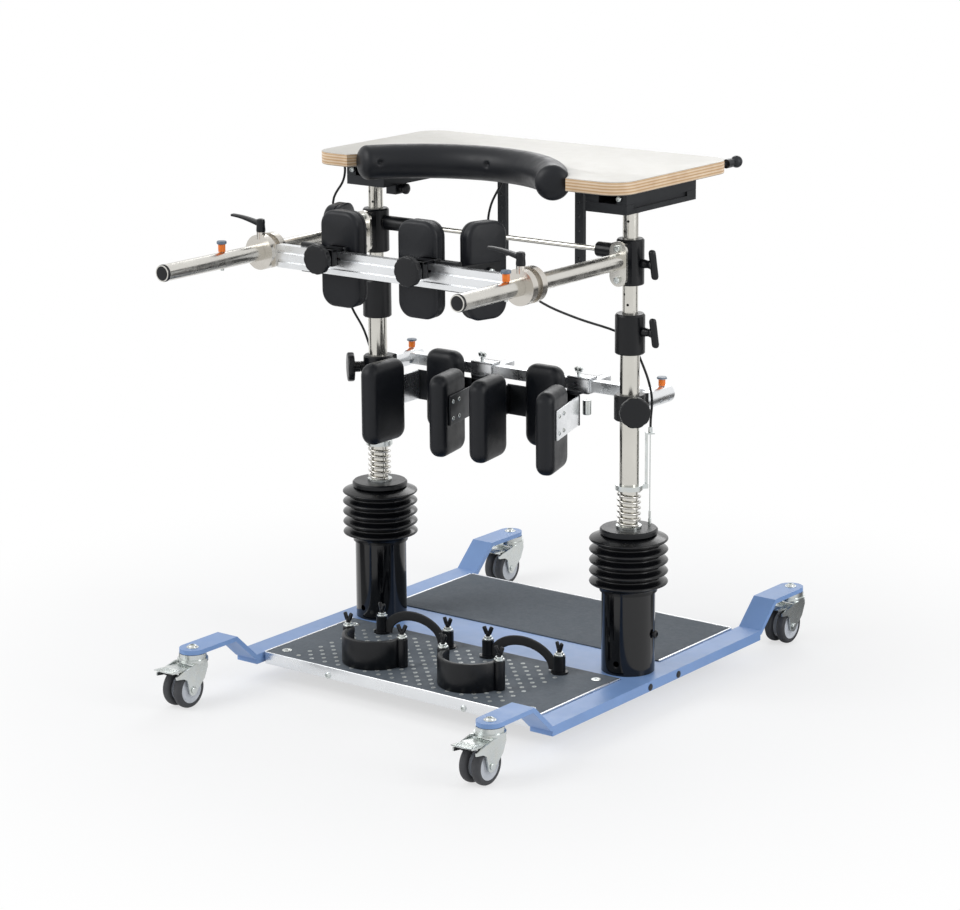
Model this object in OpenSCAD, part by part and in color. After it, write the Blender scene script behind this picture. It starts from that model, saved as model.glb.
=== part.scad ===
// Dynamic standing frame: a wheeled base carries two sprung columns that can
// rock fore and aft. The columns hold knee cups, a pelvis support on two
// handlebars, and a table with a padded chest cut-out.
// +Z up, +X to the side of the right column, the user faces +Y.
// The origin is on the floor, under the middle of the frame's outline.

/* [Base] */
// Distance between the two column axes
column_spacing = 620; // [520:10:700]
// Length of the straight part of each side rail
rail_length = 724; // [600:2:820]
// Width of the side rails and of the caster arms
rail_width = 52; // [40:1:60]
// Height of the side rails
rail_height = 20; // [16:1:30]
// Height of the rail tops above the floor
rail_top = 60; // [50:1:80]
// Thickness of the flat caster arms
arm_thickness = 9; // [6:0.5:12]
// Height of the arm tops above the floor
arm_top = 112; // [100:1:130]
// Distance of the caster bolts from the column line
arm_bolt_y = 520; // [460:5:580]
// Width of the cross beam that carries the columns
beam_width = 133; // [100:1:160]
// Thickness of the foot decks
deck_thickness = 8; // [5:1:12]
// Outer radius of the heel cups
cup_radius = 66; // [58:1:70]
// Height of the heel cups above the deck
cup_height = 58; // [40:1:64]
// Height of the foot posts above the deck
post_height = 35; // [30:1:50]
// Rise of the instep bands between their posts
strap_rise = 47; // [40:1:60]

/* [Casters] */
// Wheel diameter
wheel_diameter = 75; // [60:5:100]
// Width of one wheel of the twin pair
wheel_width = 18; // [12:1:24]
// Trail of the wheel axle behind the swivel axis
caster_trail = 30; // [20:1:40]

/* [Columns] */
// Diameter of the column housing
housing_diameter = 105; // [90:1:120]
// Height of the top edge of the housing
housing_top = 236; // [200:1:260]
// Height of the rocking pivot above the floor
pivot_height = 280; // [250:1:300]
// Largest diameter of the rubber bellows
bellows_diameter = 154; // [130:1:170]
// Diameter of the disc on top of the bellows
cap_diameter = 113; // [100:1:125]
// Outer diameter of the lower column tube
outer_tube_diameter = 38; // [35:0.5:42]
// Outer diameter of the height tube
inner_tube_diameter = 30; // [26:0.5:32]
// Height of the top of the lower column tube
outer_tube_top = 760; // [700:5:800]
// Height of the top of the height tube
inner_tube_top = 976; // [900:2:1000]

/* [Spring] */
// Wire diameter of the column springs
spring_wire = 4; // [3:0.1:5]
// Mean diameter of the spring coils
spring_mean_diameter = 43.4; // [43.2:0.1:46]
// Number of curls
spring_curls = 6; // [4:1:8]
// Height of the top collar's underside
collar_bottom = 424; // [400:1:440]

/* [Pelvis support] */
// Height of the handlebar axes
bar_height = 875; // [840:1:900]
// Handlebar tube diameter
bar_diameter = 32; // [28:1:36]
// Reach of the right handlebar in front of the column line
right_bar_reach = 538; // [400:2:640]
// Reach of the left handlebar in front of the column line
left_bar_reach = 628; // [400:2:640]
// Distance of the ring clamps from the column line
ring_y = 335; // [250:1:400]
// Height of the slotted cross bar
profile_height = 44; // [36:1:50]
// Width of the pelvis pads
pelvis_pad_w = 92; // [80:1:120]
// Height of the pelvis pads
pelvis_pad_h = 186; // [150:1:210]
// Thickness of the pelvis pads
pelvis_pad_t = 32; // [24:1:40]

/* [Knee support] */
// Height of the knee tubes' axes
knee_height = 590; // [540:1:620]
// Height of the knee pads
knee_pad_h = 166; // [120:1:180]
// Width of the side knee pads
knee_pad_w = 112; // [90:1:130]
// Width of the front knee pads
knee_front_w = 85; // [70:1:110]
// Thickness of the knee pads
knee_pad_t = 38; // [28:1:45]

/* [Table] */
// Width of the table
table_width = 742; // [650:2:800]
// Depth of the table
table_depth = 384; // [340:1:460]
// Thickness of the table
table_thickness = 25; // [18:0.5:30]
// Height of the table top
table_top_z = 1038; // [990:1:1060]
// Radius of the curved cut-out
cutout_radius = 292; // [270:1:320]
// Thickness of the chest roll
roll_diameter = 68; // [54:1:76]

/* [Hidden] */
$fn = 64;
// column line, so that the origin is under the middle of the outline
column_y = 39;
half = column_spacing / 2;
arm_x = half + 53.5;
rail_end = rail_length / 2;
rail_bottom = rail_top - rail_height;
deck_top = rail_top + 2;
deck_half = arm_x - rail_width / 2 - 6;
beam_front = -beam_width / 2 + 4.5;
beam_rear = beam_width / 2 + 4.5;
front_edge = -341;
rear_edge = 337;
cup_x = [-119, 119];
cup_y = -256;
cup_wall = 11;
cup_ear = cup_radius + 2;
ear_radius = 11.5;
post_radius = 12;
wheel_r = wheel_diameter / 2;
wheel_in = 5;
leg_in = wheel_in + wheel_width + 1.5;
tube_r = outer_tube_diameter / 2;
neck_r = tube_r - 1.6;
inner_r = inner_tube_diameter / 2;
run = 0.1;
cap_z = 336.5;
cap_t = 11.5;
seat_z = cap_z + cap_t + 0.3;
spring_z0 = seat_z + 4.2;
spring_z1 = collar_bottom - 0.2;
clamp_z0 = 692;
clamp_z1 = 770;
height_knob_z = 737;
pelvis_knob_z = bar_height - 7;
sleeve_z0 = bar_height - 49;
sleeve_z1 = bar_height + 39;
bar_r = bar_diameter / 2;
rod_z = bar_height + 11;
profile_z = bar_height - 5;
profile_half = half - 34;
lever_z = bar_height + 39;
pad_knob_z = profile_z + 13;
profile_t = 16;
pad_z = profile_z + 1;
knee_z0 = knee_height - 28;
knee_z1 = knee_height + 22;
knee_bar_y = 100;
table_front = -122;
roll_z = table_top_z - 14;
arc_x = -18;
arc_y = table_front - 125;
roll_sweep = 58;
table_rear = table_front + table_depth;
stop_x = 345;
stop_knob_z = 1024;
lug_angle = 51;
stop_z = 531;
// routes of the two lock cables, from the column stop up to the table
cable_right = [[336.5, 33, 545], [337, 33, 560], [340, 32, 600], [339, 20, 640], [318, 24, 677],
    [288, 42, 702], [248, 40, 721], [160, 40, 735], [75, 42, 755], [0, 48, 790], [-50, 54, 835],
    [-72, 60, 890], [-66, 62, 935], [-42, 66, 980], [-34, 68, 1003.2]];
cable_left = [[-336.5, 33, 545], [-337, 32, 560], [-342, 25, 592], [-352, 8, 655], [-374, -2, 700],
    [-381, -12, 740], [-384, -30, 850], [-380, -50, 925], [-352, -53, 968], [-346, -52, 988],
    [-346, -52, 1004]];

blue = "#7f9fd0";
dark = "#26282b";
black = "#17181a";
deck_grey = "#55595e";
zinc = "#c3c8cc";
steel = "#cfcdc6";
aluminium = "#d4d7da";
orange = "#f07a1c";
ply = "#d8b081";
laminate = "#e2e0da";

// places children from the column line's own axes into the part's axes
module on_line() {
    translate([0, column_y, 0]) children();
}

// a copy on each side, mirrored
module both() {
    children();
    mirror([1, 0, 0]) children();
}

module box(low, high) {
    translate(low) cube(high - low);
}

module rod_x(x0, x1, y, z, r) {
    translate([x0, y, z]) rotate([0, 90, 0]) cylinder(h = x1 - x0, r = r);
}

module rod_y(x, y0, y1, z, r) {
    translate([x, y1, z]) rotate([90, 0, 0]) cylinder(h = y1 - y0, r = r);
}

module rod_z(x, y, z0, z1, r) {
    translate([x, y, z0]) cylinder(h = z1 - z0, r = r);
}

module round_rect(w, h, r) {
    square([w - 2 * r, h], center = true);
    square([w, h - 2 * r], center = true);
    for (sx = [-1, 1])
        for (sy = [-1, 1])
            translate([sx * (w / 2 - r), sy * (h / 2 - r)]) circle(r = r);
}

// outline of a rounded rectangle at height z, drawn in by d
function pad_ring(w, h, r, d, z) = let (q = max(r - d, 3), n = 6) [for (c = [0:3])
    for (i = [0:n]) let (a = 90 * c + 90 * i / n, sx = c == 0 || c == 3 ? 1 : -1,
        sy = c < 2 ? 1 : -1)
        [sx * (w / 2 - d - q) + q * cos(a), sy * (h / 2 - d - q) + q * sin(a), z]];

// moulded cushion facing Y, centred at the origin, width along X: its faces are
// crowned and its sides are drawn in
module pad_form(w, h, t, r) {
    m = t / 2;
    steps = [[14, -m], [7, 1 - m], [2.4, 3.6 - m], [0, 8.5 - m], [0.8, 0], [0, m - 8.5],
        [2.4, m - 3.6], [7, m - 1], [14, m]];
    rings = [for (k = steps) pad_ring(w, h, r, k[0], k[1])];
    n = len(rings[0]);
    last = len(steps) - 1;
    walls = [for (i = [0:last - 1]) for (k = [0:n - 1]) let (j = (k + 1) % n)
        each [[i * n + k, (i + 1) * n + k, i * n + j],
        [i * n + j, (i + 1) * n + k, (i + 1) * n + j]]];
    ends = [for (k = [1:n - 2]) each [[0, k, k + 1],
        [last * n, last * n + k + 1, last * n + k]]];
    rotate([90, 0, 0])
        polyhedron(points = [for (q = rings) each q], faces = concat(walls, ends));
}

// route helpers for the spring wire and the cables
function unit(v) = v / norm(v);
function bend(a, b, c, d, t) = 0.5 * ((2 * b) + (c - a) * t + (2 * a - 5 * b + 4 * c - d) * t * t
    + (3 * b - a - 3 * c + d) * t * t * t);
function smooth(p, k) = [for (i = [0:len(p) - 2]) for (j = [0:k - 1])
    bend(p[max(i - 1, 0)], p[i], p[i + 1], p[min(i + 2, len(p) - 1)], j / k), p[len(p) - 1]];
function heading(q, i) = unit(q[min(i + 1, len(q) - 1)] - q[max(i - 1, 0)]);
function square_to(n, t) = unit(n - (n * t) * t);
function sides_of(q) = [for (i = 0, n = square_to([0.3, 1, 0.1], heading(q, 0)); i < len(q);
    i = i + 1, n = i < len(q) ? square_to(n, heading(q, i)) : n) n];

// one closed tube along the points q
module wire(q, r, sides) {
    n = sides_of(q);
    last = len(q) - 1;
    points = [for (i = [0:last]) for (k = [0:sides - 1])
        q[i] + r * (cos(360 * k / sides) * n[i]
        + sin(360 * k / sides) * cross(heading(q, i), n[i]))];
    walls = [for (i = [0:last - 1]) for (k = [0:sides - 1]) let (m = (k + 1) % sides)
        each [[i * sides + k, (i + 1) * sides + k, i * sides + m],
        [i * sides + m, (i + 1) * sides + k, (i + 1) * sides + m]]];
    ends = [for (k = [1:sides - 2]) each [[0, k, k + 1],
        [last * sides, last * sides + k + 1, last * sides + k]]];
    polyhedron(points = points, faces = concat(walls, ends));
}

// flat arm with a ramp, rear right corner
module caster_arm() {
    ramp = 56;
    t = arm_thickness;
    intersection() {
        translate([arm_x - rail_width / 2, 0, 0]) rotate([90, 0, 90]) linear_extrude(rail_width)
            polygon([[rail_end - 40, rail_top - t], [rail_end + 4, rail_top - t],
                [rail_end + ramp + 4, arm_top - t], [arm_bolt_y + rail_width, arm_top - t],
                [arm_bolt_y + rail_width, arm_top], [rail_end + ramp, arm_top],
                [rail_end, rail_top], [rail_end - 40, rail_top]]);
        translate([arm_x, 0, 0]) linear_extrude(200) {
            translate([-rail_width / 2, rail_end - 50])
                square([rail_width, arm_bolt_y - rail_end + 50]);
            translate([0, arm_bolt_y]) circle(r = rail_width / 2);
        }
    }
}

module base_frame() {
    color(blue) on_line() difference() {
        union() {
            both() {
                box([arm_x - rail_width / 2, -rail_end, rail_bottom],
                    [arm_x + rail_width / 2, rail_end, rail_top]);
                box([deck_half - 10, front_edge + 4, rail_bottom + 4],
                    [arm_x, rear_edge, deck_top - deck_thickness]);
                caster_arm();
                mirror([0, 1, 0]) caster_arm();
            }
            box([-arm_x, beam_front, rail_bottom], [arm_x, beam_rear, rail_top]);
        }
        both() {
            for (s = [-1, 1])
                rod_z(arm_x, s * arm_bolt_y, 90, 130, 6.1);
            rod_x(arm_x + rail_width / 2 - 12, arm_x + rail_width, -39, rail_top - 12, 4);
            rod_x(arm_x + rail_width / 2 - 12, arm_x + rail_width, 59, rail_top - 12, 4);
        }
    }
}

module front_deck() {
    color(deck_grey) on_line() difference() {
        box([-deck_half, front_edge + 0.5, deck_top - deck_thickness],
            [deck_half, beam_front - 1.5, deck_top]);
        for (x = [-302, 302])
            for (y = [-311, -97])
                rod_z(x, y, deck_top - 4, deck_top + 5, 8.2);
    }
}

module rear_deck() {
    color(deck_grey) on_line()
        box([-deck_half, beam_rear + 1.5, deck_top - deck_thickness],
            [deck_half, rear_edge, deck_top]);
}

// light metal edges of the decks and the bolts of the base
module deck_trim() {
    color(aluminium) on_line() {
        box([-deck_half, front_edge - 3, rail_bottom - 2], [deck_half, front_edge, deck_top + 0.6]);
        for (x = [-168, 168])
            rod_y(x, front_edge - 10, front_edge - 3, 50, 6.5);
        both() {
            box([deck_half + 0.8, front_edge + 0.5, deck_top - deck_thickness],
                [deck_half + 4.6, beam_front - 1.5, deck_top + 1]);
            box([deck_half + 0.8, beam_rear + 1.5, deck_top - deck_thickness],
                [deck_half + 4.6, rear_edge, deck_top + 1]);
        }
        box([-deck_half, rear_edge + 0.5, deck_top - deck_thickness],
            [deck_half, rear_edge + 3, deck_top + 1]);
        for (x = [-302, 302])
            for (y = [-311, -97])
                rod_z(x, y, deck_top - 4, deck_top + 0.6, 7.8);
        both() for (s = [-1, 1])
            rod_z(arm_x, s * arm_bolt_y, arm_top + 0.2, arm_top + 4.5, 9);
    }
}

// closed cup with two ears that hold the pivot pin of the column
module column_housings() {
    color(black) on_line() both() translate([half, 0, 0]) {
        difference() {
            rod_z(0, 0, rail_top + 0.1, housing_top, housing_diameter / 2);
            rod_z(0, 0, rail_top + 6, housing_top + 1, housing_diameter / 2 - 3.5);
            rotate([0, 0, -82]) rod_x(housing_diameter / 2 - 8, housing_diameter, 0, 84, 6);
        }
        for (s = [-1, 1])
            box([s > 0 ? 13.5 : -21.5, -22, rail_top + 5], [s > 0 ? 21.5 : -13.5, 22, 296]);
        rod_x(-24, 24, 0, pivot_height, 6);
        rotate([0, 0, 12]) rod_x(housing_diameter / 2 - 1, housing_diameter / 2 + 5, 0, 138, 5);
    }
}

// ribbed rubber sleeve between the housing and the cap disc
module bellows() {
    big = bellows_diameter / 2;
    low = big - 14;
    wall = 2.4;
    top = cap_z - 0.3;
    pitch = 21.5;
    outer = [[cap_diameter / 2 - 4, top], [big - 3, top - 9], [big, top - 11],
        for (i = [0:3]) each [[low, top - 21.5 - i * pitch], [big - 2, top - 30.5 - i * pitch],
        [big, top - 32.5 - i * pitch]], [housing_diameter / 2 + 4, housing_top - 6],
        [housing_diameter / 2 + 4, housing_top - 14]];
    inner = [[housing_diameter / 2 + 0.4, housing_top - 14],
        [housing_diameter / 2 + 0.4, housing_top - 5],
        for (i = [3:-1:0]) each [[big - wall - 1.5, top - 32 - i * pitch],
        [low - wall, top - 21.5 - i * pitch]], [big - wall - 2, top - 11],
        [cap_diameter / 2 - 9, top - wall], [cap_diameter / 2 - 9, top]];
    color(black) on_line() both() translate([half, 0, 0])
        rotate_extrude() polygon(concat(outer, inner));
}

// half-round cup behind a heel, with an ear for its screw at each end
module heel_cup() {
    r = cup_radius;
    top = deck_top + cup_height;
    difference() {
        rod_z(0, 0, deck_top + 0.2, top, r);
        rod_z(0, 0, deck_top, top + 1, r - cup_wall);
        box([-r - 1, 4, deck_top], [r + 1, r + 1, top + 1]);
    }
    for (s = [-1, 1])
        rod_z(s * cup_ear, 0, deck_top + 0.2, top + 1, ear_radius);
}

module heel_cups() {
    color(black) on_line() {
        for (x = cup_x) translate([x, cup_y, 0]) heel_cup();
    }
}

post_x = [-223, -54, 47, 221];

module foot_posts() {
    color(black) on_line() for (x = post_x) translate([x, -106, 0]) {
        rod_z(0, 0, deck_top + 0.2, deck_top + 4, 17);
        rod_z(0, 0, deck_top + 0.2, deck_top + post_height, post_radius);
    }
}

// two soft bands arched between the posts
module instep_straps() {
    color(black) on_line() for (i = [0, 2]) {
        w = (post_x[i + 1] - post_x[i]) / 2 - post_radius - 0.3;
        translate([(post_x[i] + post_x[i + 1]) / 2, -106, deck_top + 4.3]) rotate([90, 0, 0])
            translate([0, 0, -10]) linear_extrude(20) polygon(concat(
                [for (a = [0:9:180]) [w * cos(a), strap_rise * sin(a)]],
                [for (a = [180:-9:0]) [(w - 4.5) * cos(a), (strap_rise - 4) * sin(a)]]));
    }
}

module wing_screw(z) {
    rod_z(0, 0, z, z + 4, 7);
    rod_z(0, 0, z + 4, z + 9, 3.5);
    box([-8, -2.2, z + 8], [8, 2.2, z + 18]);
}

module foot_knobs() {
    color(dark) on_line() {
        for (x = post_x)
            translate([x, -106, 0]) wing_screw(deck_top + post_height + 0.2);
        for (x = cup_x)
            for (s = [-1, 1])
                translate([x + s * cup_ear, cup_y, 0]) wing_screw(deck_top + cup_height + 1.2);
    }
}

// swivel fork with its axle, axis of the swivel at the origin
module fork() {
    color(zinc) {
        rod_z(0, 0, 86, arm_top - 1, 6);
        rod_z(0, 0, 91, arm_top - arm_thickness - 0.6, 27);
        rod_z(0, 0, 86, 92, 30);
        for (x = [leg_in, -leg_in - 3]) {
            translate([x, 0, 0]) rotate([90, 0, 90]) linear_extrude(3)
                polygon([[-76, 69], [-76, 75], [-24, 86.5], [12, 86.5], [13, 76], [3, 54],
                    [-19, 34], [-41, 36], [-46, 60], [-56, 66]]);
            rod_x(x, x + 3, -caster_trail, wheel_r, 11.5);
        }
        box([-leg_in - 3, -22, 83], [leg_in + 3, 12, 86.5]);
        rod_x(-leg_in - 6, leg_in + 6, -caster_trail, wheel_r, 4);
        rod_x(-leg_in - 1, leg_in + 1, -22, 78.5, 2);
    }
}

// two tyred wheels on one hub, running on the axle
module wheels() {
    color(dark) translate([0, -caster_trail, wheel_r]) rotate([0, 90, 0]) difference() {
        union() {
            for (s = [-1, 1]) translate([0, 0, s > 0 ? wheel_in : -wheel_in - wheel_width])
                rotate_extrude() polygon([[0, 0], [wheel_r - 5, 0], [wheel_r - 1.5, 2.5],
                    [wheel_r, 6], [wheel_r, wheel_width - 6], [wheel_r - 1.5, wheel_width - 2.5],
                    [wheel_r - 5, wheel_width], [0, wheel_width]]);
            cylinder(h = 2 * wheel_in + 2, r = 9, center = true);
        }
        cylinder(h = 80, r = 4.05, center = true);
        for (s = [-1, 1]) translate([0, 0, s * (wheel_in + wheel_width)]) difference() {
            cylinder(h = 8, r = 26, center = true);
            cylinder(h = 9, r = 10, center = true);
        }
    }
}

// brake pedal hinged in the fork, wide enough to cover both wheels
module pedal() {
    w = leg_in - 1;
    color(zinc) difference() {
        union() {
            rotate([90, 0, 90]) translate([0, 0, -w]) linear_extrude(2 * w)
                polygon([[-26, 78.5], [-54, 79], [-84, 81.5], [-87, 84], [-84, 84.5], [-54, 82],
                    [-26, 81.5]]);
            box([-16, -58, 73], [16, -50, 80]);
            rod_x(-w, w, -22, 78.5, 3.6);
            box([-w, -27, 78], [w, -22, 81.5]);
        }
        rod_x(-w - 2, w + 2, -22, 78.5, 2.1);
    }
}

module at_corner(sx, sy) {
    on_line() translate([sx * arm_x, sy * arm_bolt_y, 0]) children();
}

module front_left_fork() { color(zinc) at_corner(-1, -1) fork(); }
module front_left_wheels() { color(dark) at_corner(-1, -1) wheels(); }
module front_left_pedal() { color(zinc) at_corner(-1, -1) pedal(); }
module front_right_fork() { color(zinc) at_corner(1, -1) fork(); }
module front_right_wheels() { color(dark) at_corner(1, -1) wheels(); }
module front_right_pedal() { color(zinc) at_corner(1, -1) pedal(); }
module rear_left_fork() { color(zinc) at_corner(-1, 1) fork(); }
module rear_left_wheels() { color(dark) at_corner(-1, 1) wheels(); }
module rear_left_pedal() { color(zinc) at_corner(-1, 1) pedal(); }
module rear_right_fork() { color(zinc) at_corner(1, 1) fork(); }
module rear_right_wheels() { color(dark) at_corner(1, 1) wheels(); }
module rear_right_pedal() { color(zinc) at_corner(1, 1) pedal(); }

// lower column tubes with the pivot eye at the foot
module outer_tubes() {
    color(steel) on_line() both() translate([half, 0, 0]) difference() {
        union() {
            rod_z(0, 0, collar_bottom + 9.6, outer_tube_top, tube_r);
            rod_z(0, 0, 306, collar_bottom + 10, neck_r);
            rod_z(0, 0, pivot_height, 308, 12);
            rod_x(-12.5, 12.5, 0, pivot_height, 14);
        }
        rod_z(0, 0, 320, outer_tube_top + 1, inner_r + run);
        rod_x(-20, 20, 0, pivot_height, 6.05);
    }
}

module cap_discs() {
    color(black) on_line() both() translate([half, 0, 0]) difference() {
        rotate_extrude() polygon([[neck_r + 0.1, cap_z], [cap_diameter / 2 - 2, cap_z],
            [cap_diameter / 2, cap_z + 2], [cap_diameter / 2, cap_z + cap_t - 3],
            [cap_diameter / 2 - 3, cap_z + cap_t], [neck_r + 0.1, cap_z + cap_t]]);
        rotate([0, 0, lug_angle]) rod_z(42, 0, cap_z - 1, cap_z + cap_t + 1, 3.2);
    }
}

// points of the spring wire, with straight ends square to the seats
function spring_path() = let (r = spring_mean_diameter / 2, e = spring_wire,
    z0 = spring_z0 + e, z1 = spring_z1 - e, n = spring_curls * 8) concat(
    [[r, 0, spring_z0]],
    [for (i = [0:n]) [r * cos(45 * i), r * sin(45 * i), z0 + (z1 - z0) * i / n]],
    [[r, 0, spring_z1]]);
spring_pitch = (spring_z1 - spring_z0 - 2 * spring_wire) / spring_curls;
spring_gap = spring_pitch - spring_wire;
echo(spring_gap_to_itself_mm = spring_gap, tube_gap_mm = spring_mean_diameter / 2 * cos(22.5)
    - spring_wire / 2 - neck_r);

module springs() {
    color(steel) on_line() both() translate([half, 0, 0])
        wire(spring_path(), spring_wire / 2, 6);
}

// spring seats, stop bracket of the lock cable, lock pin and its pull wire
module collars() {
    color(zinc) on_line() both() translate([half, 0, 0]) {
        difference() {
            rod_z(0, 0, seat_z, seat_z + 4, 25);
            rod_z(0, 0, seat_z - 1, seat_z + 5, neck_r + 0.1);
        }
        difference() {
            union() {
                rod_z(0, 0, collar_bottom, collar_bottom + 9.5, 27);
                rotate([0, 0, lug_angle]) {
                    box([24, -6, collar_bottom], [37, 6, collar_bottom + 9.5]);
                    box([33, -5, collar_bottom], [36, 5, stop_z + 3]);
                    box([33, -7, stop_z], [49, 7, stop_z + 3]);
                }
            }
            rod_z(0, 0, collar_bottom - 1, collar_bottom + 11, neck_r + 0.1);
            rotate([0, 0, lug_angle]) rod_z(42, 0, stop_z - 1, stop_z + 5, 1.6);
        }
        rotate([0, 0, lug_angle]) {
            rod_z(42, 0, stop_z + 3.2, 544.5, 4);
            rod_z(42, 0, 376, stop_z + 3.6, 1);
            rod_z(42, 0, cap_z + 1, 362, 3);
            rod_z(42, 0, 360, 378, 2.2);
        }
    }
}

module clamp_sleeves() {
    color(black) on_line() both() translate([half, 0, 0]) difference() {
        rotate_extrude() polygon([[0, clamp_z0], [27, clamp_z0], [29, clamp_z0 + 2],
            [29, clamp_z1 - 4], [26, clamp_z1], [0, clamp_z1]]);
        rod_z(0, 0, clamp_z0 - 1, outer_tube_top + 0.5, tube_r + run);
        rod_z(0, 0, clamp_z0, clamp_z1 + 1, inner_r + 0.3);
        rod_x(10, 40, 0, height_knob_z, 4.1);
    }
}

// T-handle clamping screw, axis along +X from a column axis
module wing_knob(r0, z) {
    color(dark) translate([0, 0, z]) {
        rod_x(r0 - 8, r0 + 22, 0, 0, 4);
        rod_x(r0 + 2, r0 + 22, 0, 0, 8);
        rotate([12, 0, 0]) {
            box([r0 + 20, -5.5, -25], [r0 + 32, 5.5, 25]);
            rod_x(r0 + 20, r0 + 32, 0, 25, 5.5);
            rod_x(r0 + 20, r0 + 32, 0, -25, 5.5);
        }
    }
}

module left_height_knob() {
    color(dark) on_line() translate([-half, 0, 0]) mirror([1, 0, 0]) wing_knob(29, height_knob_z);
}
module right_height_knob() {
    color(dark) on_line() translate([half, 0, 0]) wing_knob(29, height_knob_z);
}

module lock_cables() {
    color(black) on_line() {
        wire(smooth(cable_right, 3), 2.4, 8);
        wire(smooth(cable_left, 3), 2.4, 8);
    }
}

// height tubes with a row of staggered holes
module inner_tubes() {
    color(steel) on_line() both() translate([half, 0, 0]) difference() {
        rod_z(0, 0, 470, inner_tube_top, inner_r);
        rod_z(0, 0, 469, inner_tube_top + 1, inner_r - 2.5);
        for (i = [0:18])
            translate([i % 2 == 0 ? 4 : -4, 0, 588 + i * 20]) rotate([90, 0, 0])
                cylinder(h = 20, r = 2.5);
    }
}

// lower halves of the table slides, on the height tubes
module table_brackets() {
    color(dark) on_line() {
        both() difference() {
            union() {
                box([244, -55, 967], [338, 181, 985.8]);
                box([275, 15, 985], [315, 115, 1002]);
                rod_z(half, 0, 964, 968, 19);
            }
            rod_z(half, 0, 949, inner_tube_top, inner_r + 0.05);
            box([334.5, -30, 977], [339, 150, 987]);
        }
        difference() {
            box([-262, -25, 950], [-238, 5, 968]);
            rod_x(-250, -236, -10, 961, 4.1);
        }
    }
}

module pelvis_sleeves() {
    color(black) on_line() both() translate([half, 0, 0]) difference() {
        union() {
            rotate_extrude() polygon([[0, sleeve_z0], [25, sleeve_z0], [26.5, sleeve_z0 + 1.5],
                [26.5, sleeve_z1 - 3], [24, sleeve_z1], [0, sleeve_z1]]);
            box([-17, -36, sleeve_z0 + 5], [17, 0, sleeve_z1 - 5]);
        }
        rod_z(0, 0, sleeve_z0 - 1, sleeve_z1 + 1, inner_r + run);
        rod_x(10, 40, 0, pelvis_knob_z, 4.1);
    }
}

module handlebar(reach, pin_y) {
    difference() {
        union() {
            rod_y(0, -reach + 5, -36.2, bar_height, bar_r);
            translate([0, -36.2, bar_height - 5]) rotate([90, 0, 0])
                linear_extrude(6) round_rect(38, 86, 18.9);
        }
        rod_y(0, -reach + 4, -26, bar_height, bar_r - 2.5);
        rod_z(0, -pin_y, bar_height - 30, bar_height + 30, 4.1);
    }
    rod_y(0, -reach, -reach + 5, bar_height, bar_r - 0.5);
    for (s = [-1, 1])
        rod_y(0, -46, -42.2, bar_height - 5 + s * 30, 6);
}

module handlebars() {
    color(steel) on_line() {
        translate([half, 0, 0]) handlebar(right_bar_reach, 394);
        translate([-half, 0, 0]) handlebar(left_bar_reach, 462);
    }
}

module cross_rod() {
    color(steel) on_line() {
        rod_x(-166, 237, 0, rod_z, 5);
        rod_x(236, half - 26.8, 0, rod_z, 14);
        rod_x(-half + 26.8, -165, 0, rod_z, 14);
    }
}

module left_pelvis_knob() {
    color(dark) on_line() translate([-half, 0, 0]) mirror([1, 0, 0]) wing_knob(26.5, pelvis_knob_z);
}
module right_pelvis_knob() {
    color(dark) on_line() translate([half, 0, 0]) wing_knob(26.5, pelvis_knob_z);
}

module quick_pin(z) {
    rod_z(0, 0, z - 36, z + 8, 3.4);
    rod_z(0, 0, z, z + 8, 5);
    rod_z(0, 0, z + 8, z + 15, 7);
    rod_z(0, 0, z + 15, z + 18, 9.5);
}

module handlebar_pins() {
    color(orange) on_line() {
        translate([half, -394, 0]) quick_pin(bar_height + bar_r + 0.3);
        translate([-half, -462, 0]) quick_pin(bar_height + bar_r + 0.3);
    }
}

module ring_clamps() {
    color(aluminium) on_line() both() difference() {
        union() {
            rod_y(half, -ring_y - 22, -ring_y - 7, bar_height, 34);
            rod_y(half, -ring_y + 7, -ring_y + 22, bar_height, 34);
            rod_y(half, -ring_y - 8, -ring_y + 8, bar_height, 25);
            box([profile_half + 0.3, -ring_y - 12, profile_z - 20],
                [half - 10, -ring_y + 12, profile_z + 22]);
            rod_z(half, -ring_y - 14.5, lever_z - 14, lever_z, 8.5);
        }
        rod_y(half, -ring_y - 30, -ring_y + 30, bar_height, bar_r + run);
        rod_z(half, -ring_y - 14.5, lever_z - 8, lever_z + 2, 4.1);
    }
}

module profile_bar() {
    color(aluminium) on_line() difference() {
        box([-profile_half, -ring_y - profile_t / 2, profile_z - profile_height / 2],
            [profile_half, -ring_y + profile_t / 2, profile_z + profile_height / 2]);
        for (s = [-1, 1])
            for (e = [-1, 1])
                translate([0, -ring_y + s * profile_t / 2, profile_z + e * 9])
                    cube([2 * profile_half + 48, 9, 6], center = true);
    }
}

// adjustable clamp handle, arm along -X
module lever(x) {
    color(dark) translate([x, -ring_y - 14.5, 0]) {
        rod_z(0, 0, lever_z - 7, lever_z + 16, 4);
        rod_z(0, 0, lever_z + 0.2, lever_z + 20, 9);
        hull() {
            rod_z(0, 0, lever_z + 12, lever_z + 24, 7);
            rod_z(-70, 0, lever_z + 22, lever_z + 28, 5);
        }
    }
}

module left_lever() { color(dark) on_line() lever(-half); }
module right_lever() { color(dark) on_line() lever(half); }

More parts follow.
